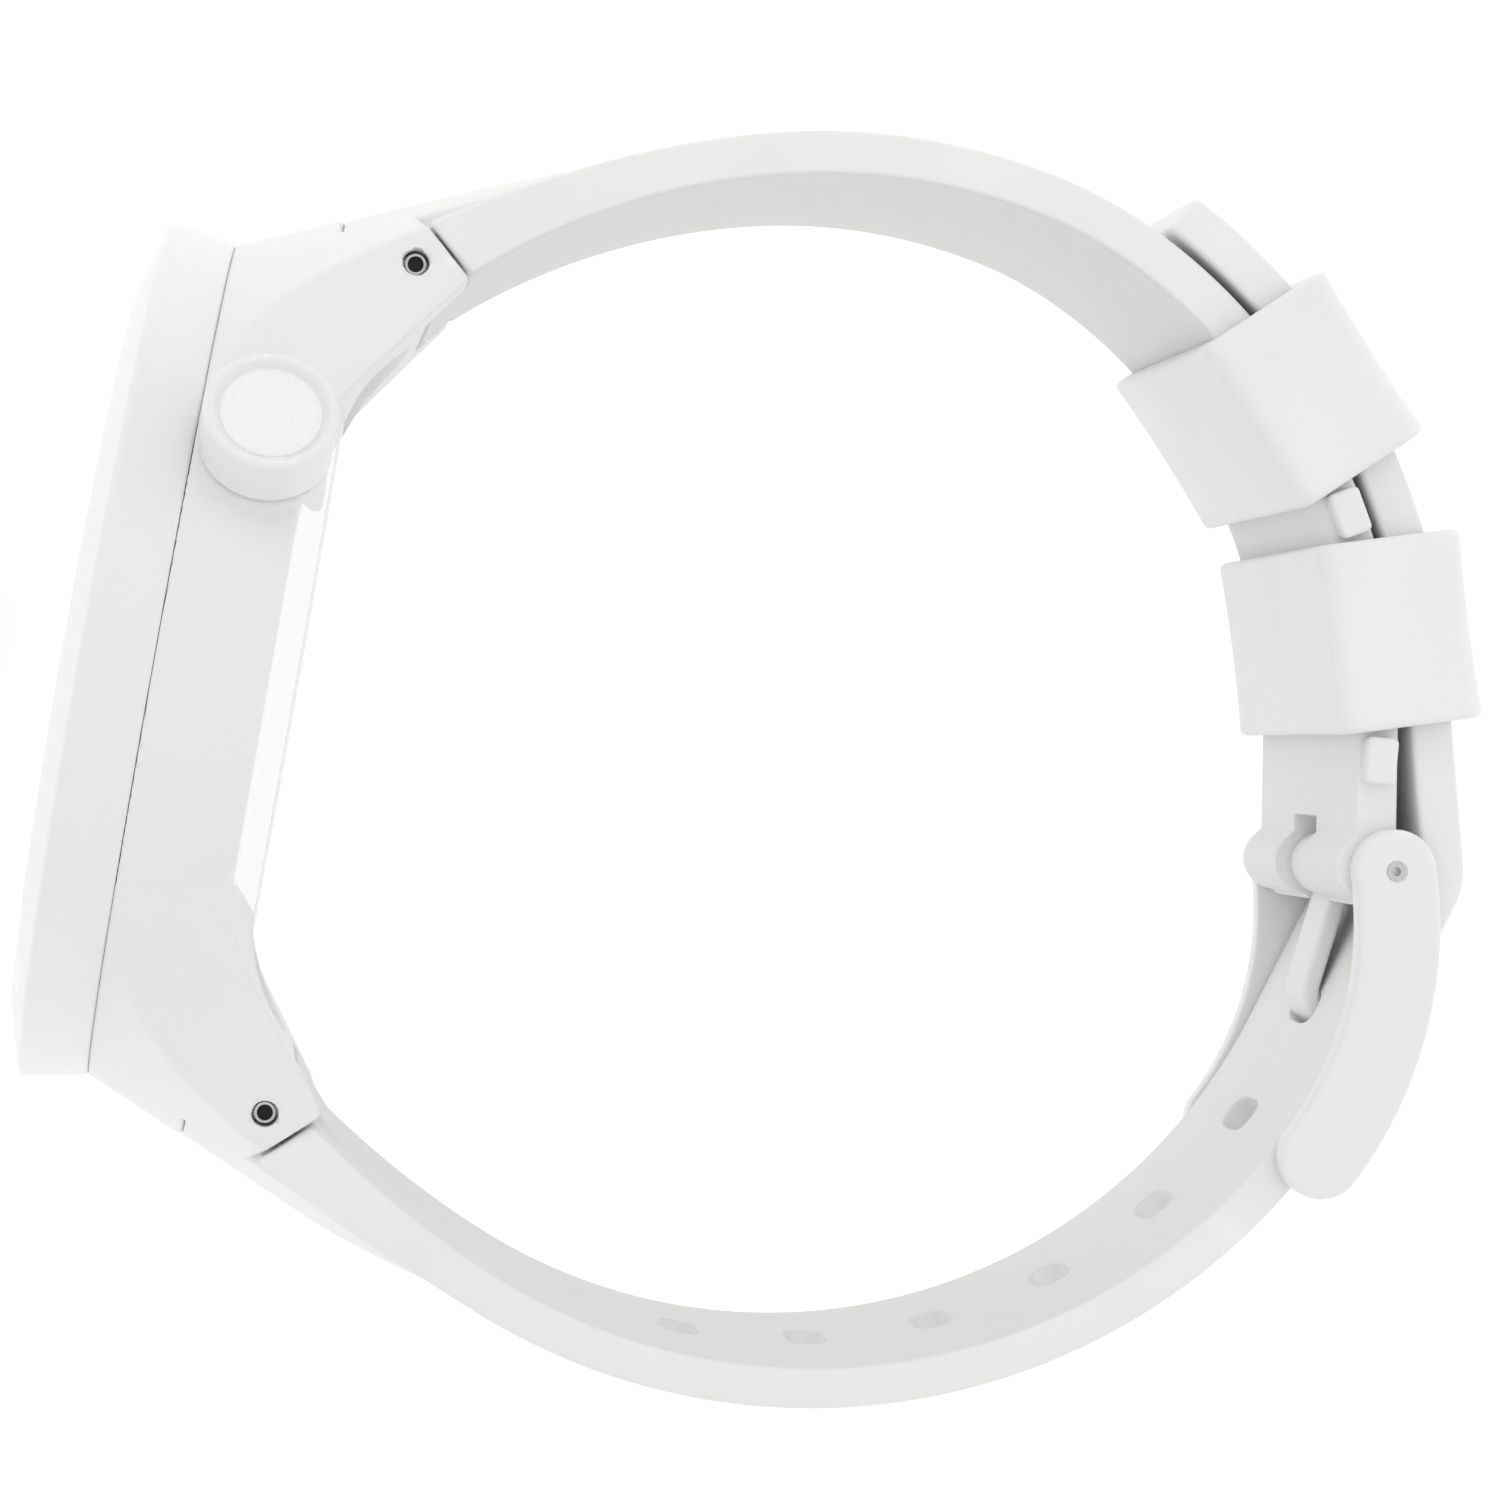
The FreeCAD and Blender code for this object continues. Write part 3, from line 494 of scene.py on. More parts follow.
nodeFinish = {
    "sealBlack": ["bezel_gasket", "crystal_gasket", "back_gasket", "crown_seals"],
    "crystalGlass": ["crystal"],
    "carrierBlack": ["dial_ring", "display_carrier", "contact_block", "crown_thrust_plate", "encoder_wheel"],
    "sheetSteel": ["display_backing", "processor_shield", "motor_case", "crown_bracket", "battery"],
    "flexAmber": ["display_flex"],
    "copperFilm": ["gps_antenna"],
    "boardGreen": ["main_board"],
    "pinSteel": ["board_screws", "motor_shaft", "case_back_screws", "crown_stem", "crown_tube",
                 "lug_pin_upper", "lug_pin_lower", "buckle_pin"],
    "chipBlack": ["processor", "encoder_sensor", "crown_switch"],
    "ceramic": ["gps_receiver"],
    "goldPlate": ["battery_leads", "charging_contacts"],
    "tungsten": ["motor_rotor"],
    "backWhite": ["case_back"],
}
for finishName, names in nodeFinish.items():
    for name in names:
        for place in nodes[name].material_slots:
            place.material = finishes[finishName]
print("stage: finishes made,", len(finishes))


# Bezel, a turned ring

bezelLook = {"seam": -7.33, "root": 22.93, "edge": (-10.95, 23.6), "lip": (-11.85, 20.6), "inner": 19.28,
             "front": -12.0, "flat": 0.5, "ledge": -10.15, "back": -9.0, "seat": 18.4, "skirt": 21.06}


def bezelRing(look):
    # turned profile: side wall, wide front chamfer and the narrow flat round the crystal
    inner, front, ledge, back = look["inner"], look["front"], look["ledge"], look["back"]
    corners = [(look["seam"], look["skirt"]), (look["seam"], look["root"]), look["edge"], look["lip"],
               (front, inner + look["flat"]), (front, inner), (ledge, inner), (ledge, look["seat"]),
               (back, look["seat"]), (back, look["skirt"])]
    profile = roundCorners(corners, [0, 0.24, 0.35, 0.25, 0.08, 0.06, 0, 0, 0, 0], 7)
    return lathe(refine(profile, 1.2), (0, 0, 0), (1, 0, 0), (0, 1, 0), 260)


finishPiece(makeObject("bezelRing", bezelRing(bezelLook)), "watch", finishes["bezelWhite"],
            ["bezel"])


# Case middle with its four lugs

caseLook = {
    "radius": 22.9, "seam": -7.3, "rear": -1.5, "bevelEnd": (-0.35, 19.6),
    "pin": (2.2, 22.42), "pinBore": 0.7,
    "cone": {"length": 13.3, "shift": 12.95, "radius": 22.9, "growth": 18.8, "lean": 0.915},
    "flank": (32.987, 49.535, 36.56), "lugRoot": 12.0, "under": 13.1,
    "tipLow": (5.08, 22.05), "tipTop": (1.9, 24.96),
    "gapHalf": 9.2, "gapFloor": 19.95, "gapStep": (-1.2, 0.67), "gapStepRadius": (24.5, 0.7),
    "crownAngle": 29.0, "crownX": -3.75, "bossRadius": 3.3, "bossTop": 22.98, "bossRoot": 20.0,
    "tube": (1.5, 15.0), "crownSeat": (3.6, 22.99), "lip": (21.0, -8.8, -7.0),
    "bores": [(19.05, -1.5, 99.0), (16.2, -3.6, 99.0), (19.0, -8.3, -3.4), (19.9, -99.0, -8.1)],
    "edge": 0.35, "tipEdge": 0.2, "ridge": 0.3, "blend": 0.9, "rearBlend": 1.0, "cell": 0.25,
}


def planeThrough(p, q, x, y):
    # distance to the right-hand side of the line from p to q
    dx, dy = q[0] - p[0], q[1] - p[1]
    size = math.hypot(dx, dy)
    return ((x - p[0]) * dy - (y - p[1]) * dx) / size


def caseField(x, y, z, look=caseLook):
    # barrel with a rear bevel, joined softly to lugs that are the common part of a slanting cone,
    # a hollow flank, an underside and a tip; then the strap gaps, the bore and the holes are taken out
    r, ay, az = np.hypot(y, z), np.abs(y), np.abs(z)
    seam, rear, cone = look["seam"], look["rear"], look["cone"]
    drum = lambda radius, low, high: np.maximum(np.maximum(r - radius, low - x), x - high)
    bevel = planeThrough(look["bevelEnd"], (rear, look["radius"]), x, r)
    barrel = softMax(softMax(r - look["radius"], bevel, look["edge"]), seam - x, 0.12)
    rise = (x - seam) / cone["length"]
    slope = np.hypot(ay + cone["shift"] * rise, z) - (cone["radius"] + cone["growth"] * rise)
    flankY, flankZ, flankRadius = look["flank"]
    flank = flankRadius - np.hypot(ay - flankY, az - flankZ)
    under = planeThrough(look["tipLow"], (rear, look["under"]), x, ay) * -1
    tip = planeThrough(look["tipTop"], look["tipLow"], x, ay) * -1
    lug = softMax(softMax(slope * cone["lean"], flank, look["ridge"]),
                  np.maximum(look["lugRoot"] - ay, seam - x), 0.12)
    lug = softMax(softMax(lug, under, look["edge"]), tip, look["tipEdge"])
    (floorX, drop), (stepRadius, stepWidth) = look["gapStep"], look["gapStepRadius"]
    step = floorX - drop * np.clip((r - stepRadius) / stepWidth, 0, 1)
    gap = np.maximum(np.maximum(az - look["gapHalf"], step - x), look["gapFloor"] - ay)
    lug = softMax(lug, -gap, 0.25)
    blend = 0.1 + look["blend"] * np.clip(rise * 2, 0, 1) + look["rearBlend"] * np.clip((x + 3.2) / 1.5, 0, 1)
    solid = softMin(barrel, lug, blend)
    a = math.radians(look["crownAngle"])
    h = y * math.sin(a) + z * math.cos(a)
    side = np.hypot(x - look["crownX"], y * math.cos(a) - z * math.sin(a))
    boss = softMax(softMax(side - look["bossRadius"], h - look["bossTop"], 0.15), look["bossRoot"] - h, 0.1)
    solid = np.minimum(softMin(solid, boss, 0.35), drum(*look["lip"]))
    for bore in look["bores"]:
        solid = np.maximum(solid, -drum(*bore))
    for radius, low in (look["tube"], look["crownSeat"]):
        solid = np.maximum(solid, -np.maximum(side - radius, low - h))
    pin = np.hypot(x - look["pin"][0], ay - look["pin"][1]) - look["pinBore"]
    return softMax(solid, -pin, 0.12)


caseSkin = fieldSurface(caseField, (-9.2, -25.9, -23.6), (5.7, 25.9, 23.7), caseLook["cell"])
caseMiddle = makeObject("caseMiddle", caseSkin)
finishPiece(caseMiddle, "watch", finishes["shellWhite"], ["case_middle"], 50)

rearRingLook = {"outer": (-1.46, 22.86), "inner": (-0.12, 19.03), "depth": 0.4, "round": 0.12}


def rearRing(look):
    # polished sloping ring between the case side and the case back
    (x0, r0), (x1, r1) = look["outer"], look["inner"]
    corners = [(x0 - look["depth"], r0 - 0.3), (x0, r0), (x1, r1), (x1 - look["depth"], r1)]
    profile = roundCorners(corners, [0, look["round"], look["round"], 0], 5)
    return lathe(refine(profile, 1.0), (0, 0, 0), (1, 0, 0), (0, 1, 0), 240)


finishPiece(makeObject("rearRing", rearRing(rearRingLook)), "watch", finishes["ringWhite"])
print("stage: case built,", len(caseMiddle.data.polygons), "faces")


# Crown

crownLook = {"radius": 3.4, "base": 23.35, "end": 26.6, "rimWidth": 0.42, "discRadius": 2.58,
             "discDrop": 0.24, "groove": 0.1, "slope": 0.26, "chamfer": 0.12, "skirt": 2.2,
             "pocket": 1.1, "stem": 0.7,
             "well": 2.5, "wellDepth": 0.9}


def crownFrame():
    a = math.radians(caseLook["crownAngle"])
    return np.array([0, math.sin(a), math.cos(a)]), np.array([0, math.cos(a), -math.sin(a)])


def crownBody(look):
    # turned cup: straight wall, a plump rim, a step down and a narrow groove round the disc
    r, base, end, cut = look["radius"], look["base"], look["end"], look["chamfer"]
    inner, step = r - look["rimWidth"], end - look["discDrop"] - look["groove"]
    floorAt, roof = end - look["wellDepth"], base + look["pocket"]
    corners = [(base, look["skirt"]), (base, r - cut), (base + cut, r), (end, r), (end, inner),
               (step, inner - look["slope"]), (step, look["well"]), (floorAt, look["well"]),
               (floorAt, look["stem"]), (roof, look["stem"]), (roof, look["skirt"])]
    profile = roundCorners(corners, [0, 0, 0.08, 0.21, 0.19, 0.05, 0, 0, 0, 0, 0], 8)
    axis, across = crownFrame()
    return lathe(refine(profile, 0.8), (caseLook["crownX"], 0, 0), axis, across, 128)


def crownDisc(look):
    # slightly crowned disc: height falls with the square of the radius, edge rolled over
    t = np.linspace(0, 1, 14)
    radius = look["discRadius"] * np.sin(t * math.pi / 2)
    crowning = 0.05 * (1 - (radius / look["discRadius"])**2)
    height = look["end"] - look["discDrop"] + crowning - 0.08 * t**10
    under = look["end"] - 0.7
    profile = np.concatenate([np.stack([height, radius], -1), [[under, look["discRadius"]], [under, 0]]])
    axis, across = crownFrame()
    return lathe(profile, (caseLook["crownX"], 0, 0), axis, across, 128)


crownCap = makeObject("crownCap", crownBody(crownLook))
finishPiece(crownCap, "crown", finishes["crownWhite"], ["crown_cap"])
finishPiece(makeObject("crownEndDisc", crownDisc(crownLook)), "crown", finishes["crownDisc"])
print("stage: bezel and crown built")


# Strap: routes are chains of arcs; a rounded oblong section is carried along each

strapLook = {
    "thick": 2.35, "tailThick": 2.28, "corner": 0.3, "tipCorner": 0.5, "step": 0.5,
    "width": [(-4, 14.0), (5, 14.0), (12, 13.65), (22, 12.6), (30, 12.15), (50, 11.75), (66, 11.7)],
    "short": {"start": (5.358, 22.488), "heading": 41.84,
              "arcs": [(37.1, 18.05), (31.2, 13.4), (22.4, 5.7), (28.6, 27.8)]},
    "long": {"start": (5.063, -22.749), "heading": -36.49, "lead": (51.8, 12.47), "radius": 31.55},
    "outerStart": {1: (2.75, 24.83), -1: (2.5, -25.09)}, "leadReach": {1: 8.5, -1: 5.5},
    "root": [(9.6, 27.0), (5.7, 22.85), (4.5, 21.4), (3.7, 20.3), (-0.3, 20.2), (-1.05, 22.0)],
    "flapCone": (26.06, 0.45), "flapStart": (7.0, 29.4), "flapEnd": {1: (16.0, 31.5), -1: (15.0, 30.8)},
    "flapRim": 0.28, "flapSink": 0.8, "tailEnd": 63.2, "layerGap": 0.45, "overPin": 1.87,
    "pin": (59.15, 0.2), "pinBore": 0.53, "lugBore": 0.72, "boreReach": 15,
    "lobeAt": 8.2, "lobeRadius": 1.85, "lobeInside": (0.23, 2.0), "lobeOutside": (0.775, 1.75),
    "slot": {"back": 6.5, "ahead": 4, "inside": 4, "outside": 2.5, "half": 2.75},
    "stops": (30.25, 4.4), "stopHalf": (0.85, 1.25), "stopReach": 12.9, "stopRim": 0.22,
    "holes": 9, "holeStart": 1.45, "holePitch": 7.1, "hole": (2.1, 5.7), "holePower": 2.8, "holeFlare": 0.16,
}


def chain(start, heading, arcs, turn, step):
    # points and headings along tangent arcs, and the centre of the last one
    points, headings = [], []
    x, y = start
    centre = None
    for radius, length in arcs:
        centre = polar(heading + 90 * turn, radius, (x, y))
        count = max(3, int(length / step))
        swept = np.degrees(length / radius) * turn * np.linspace(0, 1, count + 1)
        keep = slice(0 if not points else 1, None)
        line = polar(heading - 90 * turn + swept, radius, centre)
        points.append(line[keep])
        headings.append((heading + swept)[keep])
        x, y = line[-1]
        heading += swept[-1]
    return np.concatenate(points), np.concatenate(headings), centre


def bandShell(inner, outward, thick, half, corner, tipCorner=None, flats=26, perCorner=5, steps=6):
    # Oblong section, thick x 2*half with round corners, carried along inner + outward*thick/2.
    # Beyond each end the section shrinks by r*(1-cos t) as it moves on by r*sin t, with r the
    # section's own corner at the first end and tipCorner at the last.
    middle = inner + outward * (thick / 2)[:, None]
    t = np.linspace(0, math.pi / 2, steps + 1)[1:]

    def endRows(k, ahead, corner):
        along = (middle[k] - middle[ahead]) / np.linalg.norm(middle[k] - middle[ahead])
        moved = middle[k] + along[None] * (corner * np.sin(t))[:, None]
        moved = np.concatenate([moved, moved[-1:]])
        inset = np.append(corner * (1 - np.cos(t)), thick[k] / 2)
        same = np.ones(len(inset))
        return moved, same[:, None] * outward[k], inset, same * thick[k], same * half[k]

    first, last = endRows(0, 1, corner), endRows(-1, -2, tipCorner or corner)
    plain = (middle, outward, np.zeros(len(middle)), thick, half)
    rows = [np.concatenate([a[::-1], b, c]) for a, b, c in zip(first, plain, last)]
    middle, outward, inset, thick, half = rows
    arc = np.linspace(0, math.pi / 2, perCorner + 1)
    across = np.linspace(-1, 1, flats + 1)[1:-1]
    fa, fb, da, db = [], [], [], []
    for k, (sa, sb) in enumerate([(1, 1), (-1, 1), (-1, -1), (1, -1)]):
        angle, same, flat = arc + k * math.pi / 2, np.ones(perCorner + 1), np.ones(len(across))
        pieces = [(same * sa, same * sb, np.cos(angle), np.sin(angle))]
        if k in (1, 3):
            pieces.append((flat * sa, -across if k == 1 else across, flat * sa, flat * 0))
        for piece in pieces:
            for held, part in zip((fa, fb, da, db), piece):
                held.append(part)
    fa, fb, da, db = [np.concatenate(v) for v in (fa, fb, da, db)]
    a, b = thick / 2 - inset, half - inset
    radius = np.minimum(corner, np.maximum(a, 0) + 1e-6)
    pa = fa[None] * (a - radius)[:, None] + da[None] * radius[:, None]
    pb = fb[None] * (b - radius)[:, None] + db[None] * radius[:, None]
    flat = middle[:, None] + outward[:, None] * pa[..., None]
    return gridShell(np.concatenate([flat, pb[..., None]], -1))


def bezier(p0, p1, p2, u):
    u = u[:, None]
    return (1 - u)**2 * np.array(p0) + 2 * u * (1 - u) * np.array(p1) + u**2 * np.array(p2)


def shortRoute(look):
    # inner line, outward directions and thickness of the buckle half of the strap
    s = look["short"]
    inner, heading, centre = chain(s["start"], s["heading"], s["arcs"], -1, look["step"])
    outward = polar(heading + 90, 1.0)
    thick = np.full(len(inner), look["thick"])
    lead = int(s["arcs"][0][1] / look["step"]) + 1
    join = inner[lead - 1] + outward[lead - 1] * look["thick"]
    handle = join - polar(heading[lead - 1], look["leadReach"][1])
    outer = bezier(look["outerStart"][1], handle, join, np.linspace(0, 1, lead))
    thick[:lead] = np.linalg.norm(outer - inner[:lead], axis=1)
    outward[:lead] = (outer - inner[:lead]) / thick[:lead, None]
    # straight run into the two round lobes that hold the buckle pin
    along, across = polar(heading[-1], 1.0), outward[-1]
    lobeAt, lobeRadius, plain = look["lobeAt"], look["lobeRadius"], look["thick"] / 2
    run = np.concatenate([np.arange(0.4, 5.6, 0.5), np.arange(5.7, lobeAt, 0.12),
                          lobeAt + lobeRadius * np.sin(np.linspace(0, math.pi / 2, 16))[:-1]])
    bulge = np.sqrt(np.clip(1 - ((run - lobeAt) / lobeRadius)**2, 0, 1))
    inside, outside = [softMax(np.where(run < lobeAt, plain, 0), foot + swell * bulge, 0.5)
                       for foot, swell in (look["lobeInside"], look["lobeOutside"])]
    base = inner[-1] + along * run[:, None] + across * plain
    inner = np.concatenate([inner, base - across * inside[:, None]])
    outward = np.concatenate([outward, np.repeat(across[None], len(run), 0)])
    thick = np.concatenate([thick, inside + outside])
    return inner, outward, thick, centre


def tangentAngle(c1, r1, c2, r2):
    dx, dy = c2[0] - c1[0], c2[1] - c1[1]
    return math.degrees(math.atan2(dy, dx)), math.degrees(math.acos((r1 - r2) / math.hypot(dx, dy)))


def longRoute(look, keeperCentre):
    # inner line and outward directions of the holed half: round the wrist, over the pin, and back
    s = look["long"]
    lead, heading, _ = chain(s["start"], s["heading"], [s["lead"]], 1, look["step"])
    centre = polar(heading[-1] + 90, s["radius"], lead[-1])
    tailRadius = look["short"]["arcs"][-1][0] + look["thick"] + look["layerGap"]
    facing, spread = tangentAngle(centre, s["radius"], look["pin"], look["overPin"])
    leave = facing - spread
    facing, spread = tangentAngle(keeperCentre, tailRadius, look["pin"], look["overPin"])
    join = facing + spread
    arcs = [(centre, s["radius"], heading[-1] - 90, leave),
            (np.array(look["pin"]), look["overPin"], leave, join),
            (keeperCentre, tailRadius, join, look["tailEnd"])]
    inner, angle = [lead], [heading - 90]
    for place, radius, a0, a1 in arcs:
        count = max(8, int(math.radians(a1 - a0) * (radius + 1) / look["step"]))
        a = np.linspace(a0, a1, count + 1)
        line = polar(a, radius, place)
        previous = inner[-1][-1]
        gap = np.linalg.norm(line[0] - previous)
        if gap > 0.3:
            n = int(gap / look["step"]) + 1
            u = np.arange(1, n)[:, None] / n
            inner.append(previous + (line[0] - previous) * u)
            angle.append(np.full(n - 1, a0))
        first = 1 if gap < 0.05 else 0
        inner.append(line[first:])
        angle.append(a[first:])
    inner, angle = np.concatenate(inner), np.concatenate(angle)
    outward = polar(angle, 1.0)
    thick = np.full(len(inner), look["tailThick"])
    n = len(lead)
    joinPoint = lead[-1] + outward[n - 1] * look["tailThick"]
    handle = joinPoint - polar(heading[-1], look["leadReach"][-1])
    outer = bezier(look["outerStart"][-1], handle, joinPoint, np.linspace(0, 1, n))
    thick[:n] = np.linalg.norm(outer - lead, axis=1)
    outward[:n] = (outer - lead) / thick[:n, None]
    return inner, outward, thick, {"centre": centre, "leave": leave, "join": join}


def holePlaces(look, route):
    # centre and outward direction of each hole, in even steps along the strap
    radius = look["long"]["radius"]
    start = polar(route["leave"], radius, route["centre"])
    places = [(start + polar(route["leave"] + 90, look["holeStart"]), route["leave"])]
    step = math.degrees(look["holePitch"] / radius)
    first = route["leave"] - step + math.degrees(look["holeStart"] / radius)
    for k in range(look["holes"] - 3):
        places.append((polar(first - k * step, radius, route["centre"]), first - k * step))
    climb = polar(route["join"], look["overPin"], look["pin"])
    for distance in (0.05, 1.05):
        places.append((climb + polar(route["join"] + 90, look["holePitch"] * distance), route["join"]))
    return places


def holeShell(look, place, direction):
    # slot that flares softly at both faces of the strap, with the outline |u/a|**n + |v/b|**n = 1
    along, across = look["hole"]
    t = np.linspace(0, 2 * math.pi, 44, endpoint=False)
    curve = lambda v: np.sign(v) * np.abs(v)**(2 / look["holePower"])
    outline = np.stack([along / 2 * curve(np.cos(t)), across / 2 * curve(np.sin(t))], -1)
    thick, flare = look["tailThick"], look["holeFlare"]
    out, on = polar(direction, 1.0), polar(direction + 90, 1.0)
    axes = [(on[0], on[1], 0), (0, 0, 1), (out[0], out[1], 0)]
    return prism(outline, -0.02, thick + 0.02, -flare, -flare, axes, (place[0], place[1], 0))


def stopShell(look, centre, angle):
    # little block moulded on both edges of the strap
    radius = look["short"]["arcs"][-1][0] + look["thick"] * 0.55
    out, on = polar(angle, 1.0), polar(angle + 90, 1.0)
    axes = [(out[0], out[1], 0), (on[0], on[1], 0), (0, 0, 1)]
    place, reach, rim = polar(angle, radius, centre), look["stopReach"], look["stopRim"]
    return prism(oblong(*look["stopHalf"], 0.3, 4), -reach, reach, rim, rim, axes, (place[0], place[1], 0))


def lugBlock(look, sign):
    # root of the strap between the lugs, and the flap that carries the cone of the case,
    # radius a + b*x about the case axis, on over the strap until it sinks into it
    a, b = look["flapCone"]
    (startX, startY), (endX, endY) = look["flapStart"], look["flapEnd"][sign]
    rim, half = look["flapRim"], caseLook["gapHalf"] - 0.2
    x = np.linspace(-1.75, endX, 40)
    ramp = endY + (endY - startY) / (endX - startX) * (x - endX)
    low = [(endX, endY - 1.4)] + look["root"]
    t = np.linspace(0, math.pi / 2, 6)
    rimPlaces, rimInset = half - rim * (1 - np.sin(t[::-1])), rim * (1 - np.cos(t[::-1]))
    middle = np.linspace(half - rim, rim - half, 25)[1:-1]
    rows = []
    for z, shrink in zip(np.concatenate([rimPlaces, middle, -rimPlaces[::-1]]),
                         np.concatenate([rimInset, np.zeros(len(middle)), rimInset[::-1]])):
        top = softMin(np.sqrt((a + b * x)**2 - z * z), ramp, look["flapSink"])
        outline = np.concatenate([np.stack([x, top], -1), low, [(low[-1][0], top[0] - 0.95)]])
        outline = outline - outwardNormals(outline) * shrink
        rows.append(np.column_stack([outline[:, 0], outline[:, 1] * sign, np.full(len(outline), z)]))
    points = np.array(rows)
    rows, cols = points.shape[:2]
    faces = gridFaces(rows, cols, False, True).tolist()
    faces += [list(range(cols)), list(range((rows - 1) * cols, rows * cols))]
    return points.reshape(-1, 3), faces


def slotShell(look):
    # room for the tongue between the two lobes
    (px, py), slot = look["pin"], look["slot"]
    x0, x1, y0, y1 = px - slot["back"], px + slot["ahead"], py - slot["inside"], py + slot["outside"]
    outline = roundCorners([(x0, y0), (x1, y0), (x1, y1), (x0, y1)], 0.5, 5)
    return prism(refine(outline, 1.5), -slot["half"], slot["half"], 0.05, 0.05)


def pinBore(place, radius, reach):
    outline = polar(np.linspace(0, 360, 40, endpoint=False), radius, place)
    return prism(outline, -reach, reach, 0.0, 0.0, steps=1)


def strapHalf(name, sign, inner, outward, thick, tipCorner, added, cut):
    # band, then its root and blocks joined on, then its openings and the lug pin's bore cut out
    look = strapLook
    half = eased(look["width"], inner[:, 0])
    made = makeObject(name, bandShell(inner, outward, thick, half, look["corner"], tipCorner))
    lugPin = (caseLook["pin"][0], sign * caseLook["pin"][1])
    for shells in [[lugBlock(look, sign)]] + added:
        carve(made, shells, "UNION")
    for shells in cut + [[pinBore(lugPin, look["lugBore"], look["boreReach"])]]:
        carve(made, shells)
    node = "strap_short" if sign > 0 else "strap_long"
    return finishPiece(made, "watch", finishes["strapWhite"], [node], 32)


*band, keeperCentre = shortRoute(strapLook)
stopShells = [stopShell(strapLook, keeperCentre, angle) for angle in strapLook["stops"]]
bucklePinBore = pinBore(strapLook["pin"], strapLook["pinBore"], strapLook["boreReach"])
strapShort = strapHalf("strapShort", 1, *band, None, [stopShells], [[slotShell(strapLook)], [bucklePinBore]])
*band, route = longRoute(strapLook, keeperCentre)
holeShells = [holeShell(strapLook, *place) for place in holePlaces(strapLook, route)]
strapLong = strapHalf("strapLong", -1, *band, strapLook["tipCorner"], [], [holeShells])


# Lug pins with hollow ends

# dark is how far inside the tube ends the black plugs of painted shade sit
lugPinLook = {"radius": 0.69, "neck": 0.55, "hollow": 0.42, "half": 13.3, "neckLength": 1.5,
              "depth": 2.2, "dark": 0.35}


def lugPinShells(look, sign):
    # turned bar whose ends step down to a thin tube, and black plugs just inside the two tubes as painted
    # shade of their hollows
    half, step, floorAt = look["half"], look["half"] - look["neckLength"], look["half"] - look["depth"]
    side = [(floorAt, 0.0), (floorAt, look["hollow"]), (half, look["hollow"]), (half, look["neck"]),
            (step, look["neck"]), (step, look["radius"])]
    profile = np.array(side + [(-h, r) for h, r in side[::-1]])
    centre = (caseLook["pin"][0], sign * caseLook["pin"][1], 0)
    bar = lathe(profile, centre, (0, 0, 1), (1, 0, 0), 40)
    shadePlugs = []
    for end in (-1, 1):
        top, bottom, radius = end * (half - look["dark"]), end * floorAt, look["hollow"] - 0.01
        shadePlug = np.array([(top, 0.0), (top, radius), (bottom, radius), (bottom, 0.0)])
        shadePlugs.append(lathe(shadePlug, centre, (0, 0, 1), (1, 0, 0), 40))
    return bar, joinShells(shadePlugs)


for where, sign in (("Upper", 1), ("Lower", -1)):
    bar, shadePlugs = lugPinShells(lugPinLook, sign)
    finishPiece(makeObject("lugPin" + where, bar), "watch", finishes["pinSteel"],
                ["lug_pin_" + where.lower()])
    # black plugs: painted shade inside the hollow pin ends
    finishPiece(makeObject("lugPinShadePlugs" + where, shadePlugs), "watch", finishes["sealBlack"])
print("stage: strap built,", len(strapShort.data.polygons), len(strapLong.data.polygons), "faces")


# Keepers

keeperLook = {"length": 10.2, "inner": 27.0, "outer": 35.05, "wall": 1.1, "half": 13.35, "corner": 1.25,
              "rim": 0.4, "insideRim": 0.25, "flare": 0.14, "hollow": 0.13, "angles": {"upper": 43.0,
              "lower": 17.4}}


def keeperShell(look, angle):
    # a wall section, long and thin with round rims, carried round a rounded oblong; the wall
    # leans out by flare*(a/half)**2 towards both rims
    lowR, highR = look["inner"], look["outer"]
    wide = look["half"]
    corners = [(lowR, -wide), (highR, -wide), (highR, wide), (lowR, wide)]
    outline = refine(roundCorners(corners, look["corner"], 9), 0.8)
    n = outwardNormals(outline)
    across = (outline[:, 0] * 2 - lowR - highR) / (highR - lowR - 2 * look["corner"])
    sides = (np.abs(outline[:, 1]) > wide - 0.01) * np.clip(1 - across**2, 0, 1)
    outline = outline - n * (look["hollow"] * sides**1.5)[:, None]
    reach, wall, rim, insideRim = look["length"] / 2, look["wall"], look["rim"], look["insideRim"]
    section = refine(roundCorners([(-reach, -wall), (reach, -wall), (reach, 0), (-reach, 0)],
                                  [insideRim, insideRim, rim, rim], 6), 0.8)
    along, depth = section[:, 0], section[:, 1]
    lean = look["flare"] * (np.abs(along) / reach)**2 * (1 + depth / wall) - look["flare"]
    flat = outline[:, None] + n[:, None] * (depth + lean)[None, :, None]
    out, on = polar(angle, 1.0), polar(angle + 90, 1.0)
    points = np.empty(flat.shape[:2] + (3,))
    points[..., 0] = keeperCentre[0] + flat[..., 0] * out[0] + along[None] * on[0]
    points[..., 1] = keeperCentre[1] + flat[..., 0] * out[1] + along[None] * on[1]
    points[..., 2] = flat[..., 1]
    return gridShell(points, wrapRows=True, wrapCols=True)


for which, angle in keeperLook["angles"].items():
    made = makeObject(which + "KeeperLoop", keeperShell(keeperLook, angle))
    finishPiece(made, which + "_keeper", finishes["keeperWhite"], ["keeper_" + which], 40)
print("stage: keepers built")


# Buckle: side plates, crossbar and tongue

